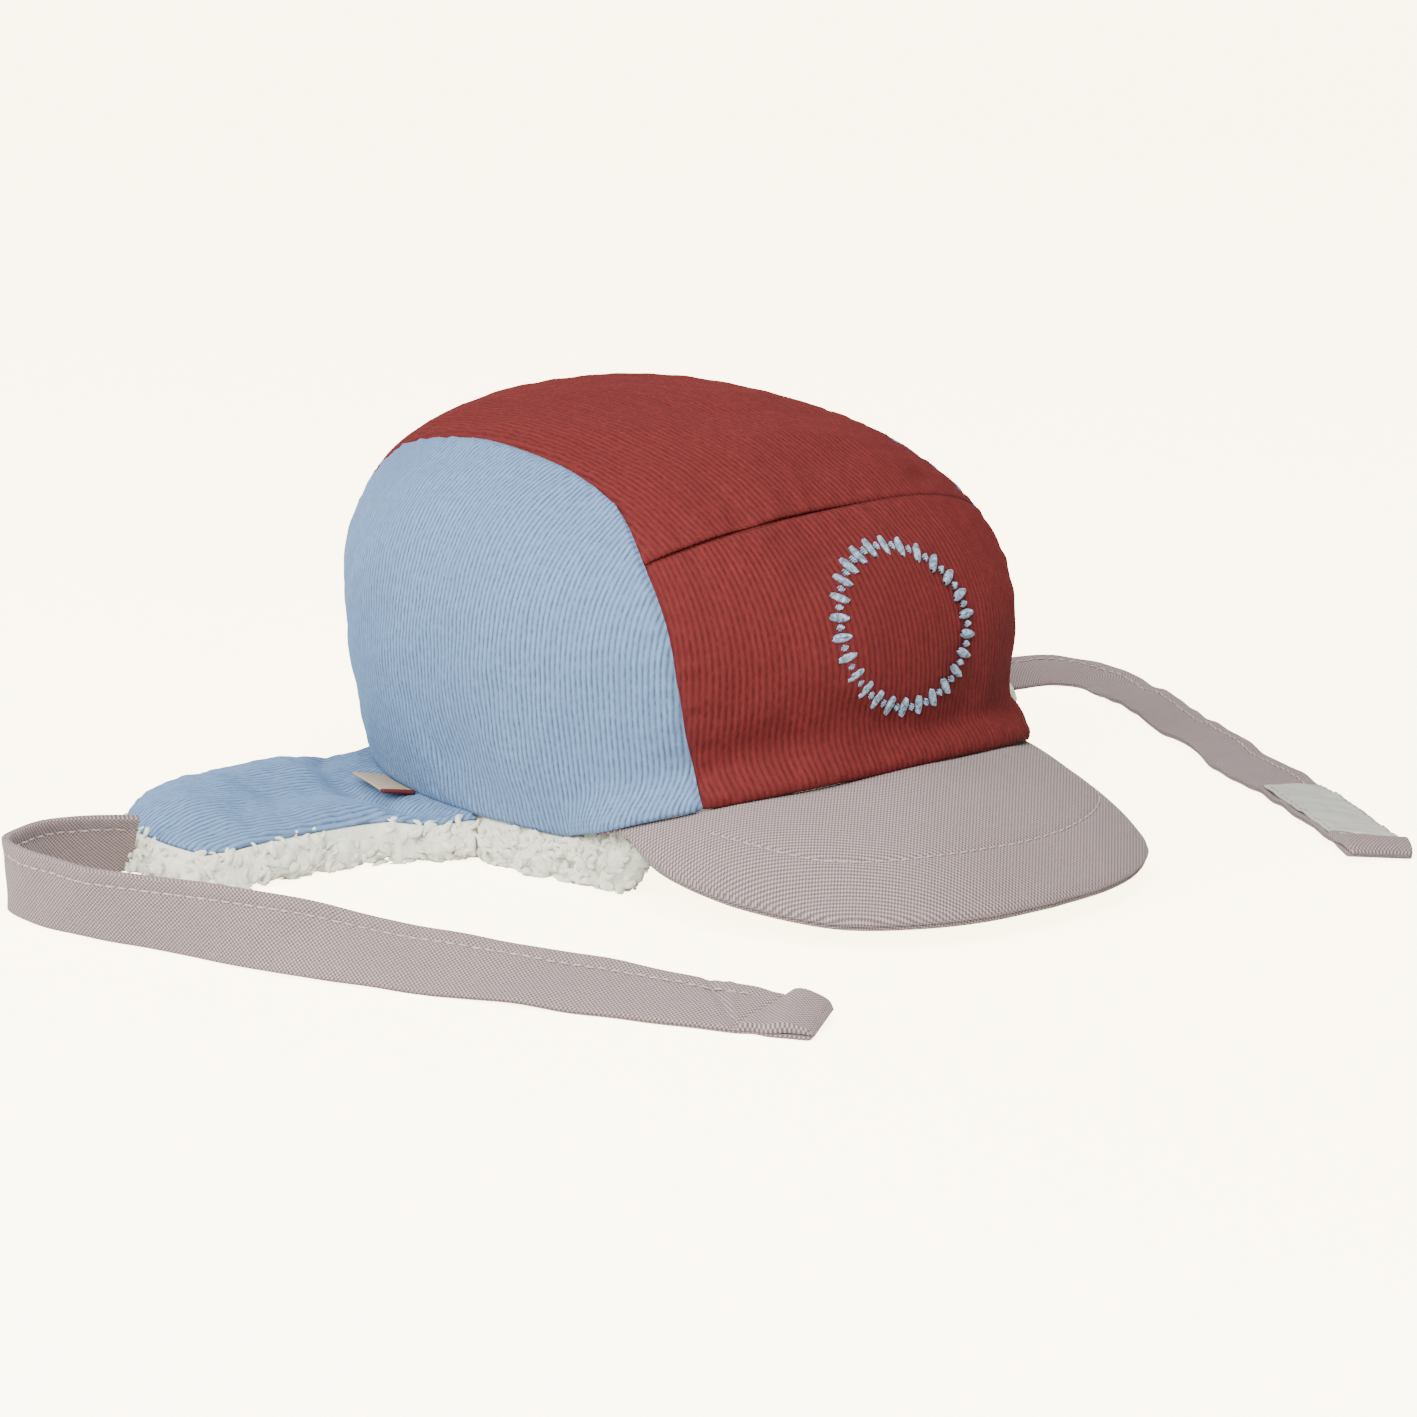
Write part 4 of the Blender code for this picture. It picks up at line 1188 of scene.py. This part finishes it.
def make_flaps(blue, pile):
    """The flaps' ribbed cloth, dented where it folds at the root and in the middle, over its pile."""
    top, a, b = flap_faces(*FLAP_GRID)
    long_fold = hump(b, 0.14 + 0.05 * a, 0.05) * np.sin(math.pi * np.clip(a * 1.4, 0, 1))
    short_fold = hump(b, 0.27 - 0.10 * a, 0.04) * ease(a, 0.25, 0.5) * ease(-a, -1.0, -0.8)
    hollow = hump(b, 0.50, 0.09) * hump(a, 0.40, 0.16)
    top[..., 2] -= 0.0030 * long_fold + 0.0016 * short_fold + 0.0028 * hollow
    normal = grid_normals(top)
    normal = normal * np.sign(normal[FLAP_GRID[1] // 2, FLAP_GRID[0] // 2, 2])
    seams, edge = seam_relief(top, SEEDS["flap"], (1.0, 1.0, -0.2, 1.0))
    ribs = top[..., 1] - 0.006 * (b * 1.15) ** 3
    ribbed = wale_relief(ribs, sizes().blue_pitch) * (0.4 + 0.6 * ease(edge, 0, 0.003))
    height = (seams * 0.8 + ribbed
              + 0.0007 * ripple(top, 0.030, SEEDS["flap"] + 2) * ease(edge, 0, 0.008)
              + 0.0003 * ripple(top, 0.012, SEEDS["flap"] + 3) * ease(edge, 0, 0.006))
    upper = top + normal * height[..., None]
    lower = (top - UP * CLOTH_WALL)[::COARSE, ::COARSE]
    cloth = np.stack([ribs, -top[..., 0]], -1)
    for side, flip in (("right", False), ("left", True)):
        turned = mirrored if flip else np.array
        shape = Shape()
        cloth_sheet(shape, turned(upper), turned(lower), cloth, COARSE, flip)
        made = shape.piece(f"flap_cloth_{side}", blue, "blue_corduroy", [f"ear_flap_{side}"])
        make_flap_pile(side, turned, flip, top, pile)


def make_flap_pile(side, turned, flip, top, pile):
    """The flap's thick pile: a lumpy pad with a roll of curls round its edge."""
    seed = SEEDS["flap_pile"]
    rng = np.random.default_rng(seed)
    loop = np.concatenate([top[:, 0], top[-1, 1:-1], top[::-1, -1]])
    loop = along(loop, np.linspace(0, 1, 421))
    run = unit(np.gradient(loop * LEVEL, axis=0))
    out = np.stack([run[:, 1], -run[:, 0], np.zeros(len(run))], -1)
    out = out * np.sign((out * (loop - loop.mean(axis=0))).sum())
    roof = np.clip(loop[:, 2] - CLOTH_WALL - SEAM_GAP, 0.004, 0.020)
    middle = loop * LEVEL - out * FLAP_ROLL + UP * (roof / 2)[:, None]
    turn = np.linspace(0, 2 * math.pi, 33)[:-1][None, :, None]
    ragged = 0.4 * np.clip(ripple(loop * LEVEL, 0.014, seed + 4), 0, 1)[:, None, None]
    ring = (middle[:, None] + out[:, None] * np.cos(turn) * (FLAP_ROLL + FLAP_PILE_OUT * 0.4)
            + UP * np.sin(turn) * (1 - ragged * (np.sin(turn) < 0)) * (roof / 2)[:, None, None])
    normal = unit(ring - middle[:, None])
    raised = lumps(ring, normal, FLAP_LUMPS, rng)
    raised = raised + normal * (0.0005 * ripple(ring, 0.0040, seed + 1))[..., None]
    ceiling = (roof + 0.0002)[:, None]
    raised[..., 2] = np.clip(raised[..., 2], FLOOR_CLEARANCE, ceiling)
    shape = Shape()
    index = shape.grid(turned(raised), closed=True, flip=not flip)
    shape.cap(index[0], flip=flip)
    shape.cap(index[-1], flip=not flip)
    fill = top[::COARSE, ::COARSE] - UP * (CLOTH_WALL + SEAM_GAP)
    base = fill * LEVEL + UP * 0.0006
    base = base + UP * np.abs(0.0011 * ripple(base, 0.007, seed + 2))[..., None]
    upper = shape.grid(turned(fill), flip=flip)
    lower = shape.grid(turned(base), flip=not flip)
    shape.border(upper, lower, 1, flip)
    made = shape.piece(f"flap_pile_{side}", pile, "white_pile", [f"flap_lining_{side}"])

    rows, faces = np.roll(raised, 12, axis=1)[:, :18], np.roll(normal, 12, axis=1)[:, :18]
    loose = curls(rows, faces, FLAP_CURLS, rng, FLAP_CURL_SIZE)
    loose.points = [turned(points) for points in loose.points]
    if flip:
        loose.faces = [face[::-1] for face in loose.faces]
    loose.piece(f"flap_curls_{side}", pile, "white_pile")


# Ties

def tie_frames(side, shares):
    """Middle line of a tie, and its width and face directions."""
    sign = 1 if side == "left" else -1
    start = along(flap_outline()[1], [0.5])[0] - np.array([FLAP_PILE_OUT + TIE_START_GAP, 0])
    rows = smooth_line([(-out * TIE_LENGTH, -forward * TIE_LENGTH, lean)
                        for out, forward, lean in TIE_ROUTES[side]], 12)
    # The lean hardly counts towards the length of the line
    weights = np.array([1, 1, 1e-6])
    rows = along(rows * weights, shares) / weights
    lean = np.radians(rows[:, 2])
    path = (start + rows[:, :2]) * np.array([-sign, 1])
    run = unit(np.gradient(path, axis=0))
    beside = np.stack([-run[:, 1], run[:, 0], 0 * lean], -1)
    width = beside * np.cos(lean)[:, None] + UP * np.sin(lean)[:, None]
    face = -beside * np.sin(lean)[:, None] + UP * np.cos(lean)[:, None]
    height = (TIE_WIDTH * np.abs(np.sin(lean)) + TIE_WALL * np.abs(np.cos(lean))) / 2
    return np.concatenate([path, height[:, None]], -1), width, face


def tie_relief(side, middle, width, w, run, left):
    """How far a tie's face stands off its flat form, w across it from -1 to 1."""
    seed = SEEDS[f"tie_{side}"]
    still = ease(left, TIE_HEM + 0.001, TIE_HEM + 0.019)
    place = middle + width * (w * TIE_WIDTH / 2)
    waves = 0.00045 * ripple(place, 0.034, seed) + 0.00028 * ripple(place, 0.013, seed + 1)
    pucker = 0.00014 * np.sin(run * 2 * math.pi / 0.0052) * hump(w, 0.62, 0.22)
    return (waves + pucker) * still


def make_tie(side, canvas_material, thread_material):
    """A flat doubled strap with a sewn edge. Its end is folded back into a soft loop."""
    middle, width, face = tie_frames(side, np.linspace(0, 1, TIE_ROWS))
    run = run_of(middle)
    left = run[-1] - run
    tip = np.sqrt(np.clip(1 - (1 - np.clip(left / TIE_LOOP, 0, 1)) ** 2, 0.004, 1))
    loop = ease(-left, -TIE_HEM + 0.001, -0.0050)
    thick = (TIE_WALL / 2 + (TIE_LOOP / 2 - TIE_WALL / 2) * loop) * tip
    pinch = 1 - TIE_PINCH[side] * hump(left, TIE_HEM, 0.0028)
    half = (TIE_WIDTH / 2 - 0.0002) * pinch * (0.88 + 0.12 * tip) * (1 - 0.05 * loop)
    uneven = ripple(middle, 0.045, SEEDS["tie_edge"]) * ease(left, 0.02, 0.05)
    half = half * (1 + TIE_WAVE[side] * uneven)
    raised = (TIE_LOOP / 2 - TIE_WALL / 2) * loop * tip
    # Round the strap: w runs across it, t through it. Each side has a groove between the two layers
    groove = [(1.0, 0.5), (1.0, 0.15), (0.97, 0.0), (1.0, -0.15), (1.0, -0.5)]
    section = [(w, 1.0) for w in np.linspace(-0.96, 0.97, 31)] + groove
    section += [(w, -1.0) for w in np.linspace(0.97, -0.96, 17)] + [(-w, -t) for w, t in groove]
    rows, cloth = [], []
    for w, t in section:
        relief = 0.0
        if abs(t) == 1.0:
            relief = 0.00020 * ease(w, TIE_STITCH_AT, 0.80) - 0.00032 * hump(w, TIE_STITCH_AT, 0.05)
            relief = relief * ease(left, TIE_HEM, 0.022)
        if t == 1.0:
            for low_end, high_end, depth in TIE_FOLDS:
                across = left - (low_end + (high_end - low_end) * (w + 1) / 2)
                relief = relief + depth * hump(across, 0, 0.0011) * ease(left, 0.003, 0.008)
            across = left - (TIE_HEM_LINE[0] + (TIE_HEM_LINE[1] - TIE_HEM_LINE[0]) * (w + 1) / 2)
            relief = relief + 0.0013 * ease(-across, -0.0002, 0.0006) * ease(left, 0.002, 0.009)
        slit = 1 - 0.16 * loop * (abs(t) < 0.1)
        rows.append(middle + width * (half * w * slit)[:, None] + face * (
            np.sign(t) * (thick * abs(t) + relief) + 0.6 * raised
            + tie_relief(side, middle, width, w, run, left))[:, None])
        # The weave of the under face is shifted, so that the two faces differ
        beside = w * TIE_WIDTH / 2 + (0.05 if t < 0 else 0)
        cloth.append(np.stack([run, np.full(TIE_ROWS, beside)], -1))
    grid, cloth = np.array(rows).swapaxes(0, 1), np.array(cloth).swapaxes(0, 1)
    grid[..., 2] = np.maximum(grid[..., 2], FLOOR_CLEARANCE)
    shape = Shape()
    index = shape.grid(grid, cloth, closed=True)
    shape.cap(index[0], flip=False)
    shape.cap(index[-1], flip=True)
    made = shape.piece(f"tie_cloth_{side}", canvas_material, "grey_canvas", [f"tie_{side}"])

    sewn = Shape()
    stop = int(np.searchsorted(-left, -TIE_HEM - 0.003))
    for sign in (1, -1):
        offset = (sign * thick + tie_relief(side, middle, width, TIE_STITCH_AT, run, left)
                  - sign * 0.00015)
        line = middle + width * (half * TIE_STITCH_AT)[:, None] + face * offset[:, None]
        line[:, 2] = np.maximum(line[:, 2], 8 * FLOOR_CLEARANCE)
        stitches(sewn, line[4:stop], (face * sign)[4:stop], radius=0.00030, gap=0.0007)
    thread_piece = sewn.piece(f"tie_stitches_{side}", thread_material, "grey_canvas")


# Labels

def make_tie_label(material, thread_material):
    """A bare woven label, sewn down along both sides near the left tie's end."""
    end = 1 - (TIE_HEM + 0.001) / TIE_LENGTH
    shares = np.linspace(end - TIE_LABEL_LENGTH / TIE_LENGTH, end, 61)
    middle, width, face = tie_frames("left", shares)
    across = np.linspace(-1, 1, 25)
    rows = [middle + width * (TIE_LABEL_WIDTH / 2 * w) + face * (
        TIE_WALL / 2 + SEAM_GAP + LABEL_WALL * (1 - 0.6 * abs(w) ** 8)) for w in across]
    grid = np.array(rows).swapaxes(0, 1)
    seed = SEEDS["tie_tape"]
    wave = 0.00045 * ripple(grid, 0.014, seed) + 0.00025 * ripple(grid, 0.007, seed + 1)
    grid = grid + face[:, None] * np.abs(wave)[..., None]
    inner = (grid - face[:, None] * LABEL_WALL)[::LABEL_COARSE, ::LABEL_COARSE]
    cloth = np.stack(np.broadcast_arrays((across[None] + 1) / 2, run_of(middle)[:, None]), -1)
    shape = Shape()
    cloth_sheet(shape, grid, inner, cloth, LABEL_COARSE, flip=True)
    shape.piece("tie_tape", material, "label_tape", ["tie_label"])
    sewn = Shape()
    for column in (1, -2):
        stitches(sewn, grid[3:-3, column], face[3:-3], radius=0.0002, gap=0.0009)
    sewn.piece("tie_tape_stitches", thread_material, "label_tape")


def make_neck_label(material):
    """A folded tab that stands out of the seam over the right flap's root."""
    root = rim_line(*NECK_LABEL_ANGLES, 40)
    out = unit(root * LEVEL)
    reach = np.linspace(NECK_LABEL_START, NECK_LABEL_REACH, 25)[:, None, None]
    share = (reach - NECK_LABEL_START) / (NECK_LABEL_REACH - NECK_LABEL_START)
    lift = NECK_LABEL_LIFT * (reach / NECK_LABEL_REACH) ** 0.7
    curl = 0.0006 * np.sin(np.linspace(0, math.pi, 41))[None, :, None] * share
    face = root[None] + out[None] * reach + UP * (lift + SEAM_GAP + LABEL_WALL + curl)
    under = face - UP * (2 * LABEL_WALL) * (0.6 + 0.4 * (1 - share))
    shape = Shape()
    across, _, _ = grid_runs(face)
    cloth = np.stack(np.broadcast_arrays(across / across[:, -1:], reach[..., 0]), -1)
    cloth_sheet(shape, face, under[::LABEL_COARSE, ::LABEL_COARSE], cloth, LABEL_COARSE, flip=True)
    shape.piece("neck_tape", material, "label_tape", ["neck_label"])


# Embroidery

def make_embroidery(material):
    """A plain ring of satin-stitched leaves and dots round an empty middle."""
    centre = plain_crown(np.array([EMBROIDERY_CENTRE[0], -CROWN_FRONT, EMBROIDERY_CENTRE[1]]))
    rise = unit(np.cross(np.array([-1.0, 0, 0]), crown_normal(centre)))
    rise = rise * np.sign(rise[2])
    shape = Shape()
    rings, sides = 6, 5
    forms = []
    for k in range(PETALS):
        angle = 2 * math.pi * k / PETALS
        reach, half = DOT if k % 2 else LEAF
        away = np.array([math.cos(angle), math.sin(angle)])
        beside = np.array([-away[1], away[0]])
        count = int(2 * reach / (THREAD_RADIUS * 1.55))
        for t in np.linspace(-0.93, 0.93, count):
            span = half * math.sqrt(1 - t * t) + 0.0001
            s = np.linspace(-1, 1, rings)
            out = EMBROIDERY_RADIUS + reach * t + 0.25 * half * s
            u, v = out[None] * away[:, None] + (span * s)[None] * beside[:, None]
            flat = centre + u[:, None] * np.array([1.0, 0, 0]) + v[:, None] * rise
            base = plain_crown(flat)
            normal = crown_normal(base)
            base = base - normal * (fold_depth(base, FOLDS) + fold_depth(base, CREASES))[:, None]
            lift = 0.0001 + 0.0008 * np.sqrt(np.clip(1 - s * s, 0, 1))
            path = base + normal * lift[:, None]
            forms.append(tube_form(path, THREAD_RADIUS, sides).reshape(-1, 3))
    shape.copies(np.array(forms), ring_faces(rings, sides))
    shape.piece("embroidered_ring", material, "red_corduroy")


# Stage

def direction(azimuth, elevation):
    """The way to a point seen from the cap, azimuth 0 straight ahead of its peak, in degrees."""
    az, el = math.radians(azimuth), math.radians(elevation)
    return Vector((math.sin(az) * math.cos(el), -math.cos(az) * math.cos(el), math.sin(el)))


def add_object(name, data):
    """A new object in the scene."""
    made = bpy.data.objects.new(name, data)
    bpy.context.scene.collection.objects.link(made)
    return made


def make_floor(material):
    """A floor that curves up into a backdrop."""
    turn = np.linspace(0, math.pi / 2, 17)
    far, radius = 1.5, 0.9
    profile = [(-2.6, 0.0)]
    profile += [(far + radius * math.sin(t), radius * (1 - math.cos(t))) for t in turn]
    profile.append((far + radius, 3.2))
    half = 3.4
    points, faces = [], []
    angle = math.radians(CAMERA_AZIMUTH)
    ahead = np.array([-math.sin(angle), math.cos(angle)])
    beside = np.array([math.cos(angle), math.sin(angle)])
    for depth, height in profile:
        for side in (-half, half):
            points.append((*(ahead * depth + beside * side), height))
    for k in range(len(profile) - 1):
        faces.append((2 * k, 2 * k + 1, 2 * k + 3, 2 * k + 2))
    mesh = bpy.data.meshes.new("floor")
    mesh.from_pydata(points, [], faces)
    mesh.materials.append(material)
    mesh.shade_smooth()
    add_object("floor", mesh)


def paper(name, colour):
    """Pale ground that glows for the camera alone, so that it lights nothing."""
    made = Finish(name)
    grain = made.noise(made.room(), 90.0, 3.0)
    base = made.mix((grain - 0.4) * 0.2, shade(colour, 1.0), shade(colour, 0.98))
    seen = made.add("ShaderNodeLightPath", None, None, "Is Camera Ray")
    glow = made.mix(seen, (0, 0, 0, 1), (1.0, 0.83, 0.53, 1))
    made.set(Base_Color=base, Roughness=0.95, Specular_IOR_Level=0.1,
             Emission_Color=glow, Emission_Strength=FLOOR_GLOW)
    return made.material


def make_camera():
    """The camera, where the photo's stood."""
    azimuth = math.radians(CAMERA_AZIMUTH)
    back = direction(CAMERA_AZIMUTH, CAMERA_ELEVATION)
    right = Vector((math.cos(azimuth), math.sin(azimuth), 0))
    up = back.cross(right)
    target = Vector(PLACE) + Vector((0, 0, CAMERA_AIM["height"]))
    eye = target + back * CAMERA_DISTANCE
    aim = target + right * CAMERA_AIM["right"] - up * CAMERA_AIM["drop"]
    data = bpy.data.cameras.new("camera")
    data.lens = CAMERA_LENS
    data.sensor_width = 36.0
    data.clip_start, data.clip_end = 0.05, 30.0
    camera = add_object("camera", data)
    camera.location = eye
    camera.rotation_euler = (aim - eye).to_track_quat("-Z", "Y").to_euler()
    bpy.context.scene.camera = camera


def make_lights():
    """Three large round lights and a pale sky."""
    for name, azimuth, elevation, distance, size, watts in LIGHTS:
        data = bpy.data.lights.new(name, "AREA")
        data.shape = "DISK"
        data.size = size
        data.energy = watts
        back = direction(azimuth, elevation)
        light = add_object(name, data)
        light.location = Vector(PLACE) + back * distance
        light.rotation_euler = back.to_track_quat("Z", "Y").to_euler()
    world = bpy.data.worlds.new("studio")
    world.use_nodes = True
    sky = world.node_tree.nodes["Background"]
    sky.inputs["Color"].default_value = (1.0, 0.995, 0.98, 1)
    sky.inputs["Strength"].default_value = 0.35
    bpy.context.scene.world = world


# Operators

class CAP_OT_stage(bpy.types.Operator):
    """Add the floor, lights and camera"""
    bl_idname = "cap.stage"
    bl_label = "Stage"

    def execute(self, context):
        make_camera()
        make_lights()
        make_floor(paper("pale_paper", colours().floor))
        return {"FINISHED"}


class CAP_OT_crown(bpy.types.Operator):
    """Add the ribbed panels of the crown"""
    bl_idname = "cap.crown"
    bl_label = "Crown panels"

    def execute(self, context):
        red = corduroy("red_wales", colours().red, sizes().red_pitch, groove=0.60, mottle=1.5)
        blue = corduroy("blue_wales", colours().blue, sizes().blue_pitch, groove=0.36, mottle=1.0)
        make_side_panels(blue)
        make_front_panel(red)
        make_top_panel(red)
        return {"FINISHED"}


class CAP_OT_peak(bpy.types.Operator):
    """Add the canvas peak and its row of stitches"""
    bl_idname = "cap.peak"
    bl_label = "Peak"

    def execute(self, context):
        cloth = canvas("grey_weave", colours().canvas)
        sewn = thread("grey_thread", colours().canvas, light=2.4, dark=1.5, gloss=0.6)
        make_peak(cloth, sewn)
        return {"FINISHED"}


class CAP_OT_lining(bpy.types.Operator):
    """Add the curly lining of the crown"""
    bl_idname = "cap.lining"
    bl_label = "Lining"

    def execute(self, context):
        make_lining(curly_pile("wool_pile", colours().pile))
        return {"FINISHED"}


class CAP_OT_flaps(bpy.types.Operator):
    """Add the ear flaps with their pile"""
    bl_idname = "cap.flaps"
    bl_label = "Ear flaps"

    def execute(self, context):
        make_flaps(bpy.data.materials["blue_wales"], bpy.data.materials["wool_pile"])
        return {"FINISHED"}


class CAP_OT_ties(bpy.types.Operator):
    """Add the canvas ties"""
    bl_idname = "cap.ties"
    bl_label = "Ties"

    def execute(self, context):
        for side in ("right", "left"):
            make_tie(side, bpy.data.materials["grey_weave"], bpy.data.materials["grey_thread"])
        return {"FINISHED"}


class CAP_OT_labels(bpy.types.Operator):
    """Add the two bare labels"""
    bl_idname = "cap.labels"
    bl_label = "Labels"

    def execute(self, context):
        make_tie_label(tape("white_tape", colours().tape), bpy.data.materials["grey_thread"])
        make_neck_label(tape("cream_tape", colours().neck_tape, edge=colours().neck_edge))
        return {"FINISHED"}


class CAP_OT_embroidery(bpy.types.Operator):
    """Add the embroidered ring on the front panel"""
    bl_idname = "cap.embroidery"
    bl_label = "Embroidery"

    def execute(self, context):
        make_embroidery(thread("blue_thread", colours().thread, light=1.7, dark=0.36, gloss=0.42))
        return {"FINISHED"}


OPERATORS = (CAP_OT_stage, CAP_OT_crown, CAP_OT_peak, CAP_OT_lining, CAP_OT_flaps, CAP_OT_ties,
             CAP_OT_labels, CAP_OT_embroidery)


class CAP_PT_sidebar(bpy.types.Panel):
    """The cap's sizes, colours and pieces"""
    bl_idname = "CAP_PT_sidebar"
    bl_label = "Winter Cap"
    bl_space_type = "VIEW_3D"
    bl_region_type = "UI"
    bl_category = "Cap"

    def draw(self, context):
        for group in (context.scene.cap_sizes, context.scene.cap_colours):
            for name in group.bl_rna.properties.keys():
                if name not in ("rna_type", "name"):
                    self.layout.prop(group, name)
        for operator in OPERATORS:
            self.layout.operator(operator.bl_idname)


CLASSES = (CapSizes, CapColours, *OPERATORS, CAP_PT_sidebar)


def register():
    for made in CLASSES:
        bpy.utils.register_class(made)
    bpy.types.Scene.cap_sizes = bpy.props.PointerProperty(type=CapSizes)
    bpy.types.Scene.cap_colours = bpy.props.PointerProperty(type=CapColours)


def unregister():
    del bpy.types.Scene.cap_colours
    del bpy.types.Scene.cap_sizes
    for made in reversed(CLASSES):
        bpy.utils.unregister_class(made)


def main():
    """Runs every operator."""
    register()
    for operator in OPERATORS:
        group, name = operator.bl_idname.split(".")
        getattr(getattr(bpy.ops, group), name)()


if __name__ == "__main__":
    main()
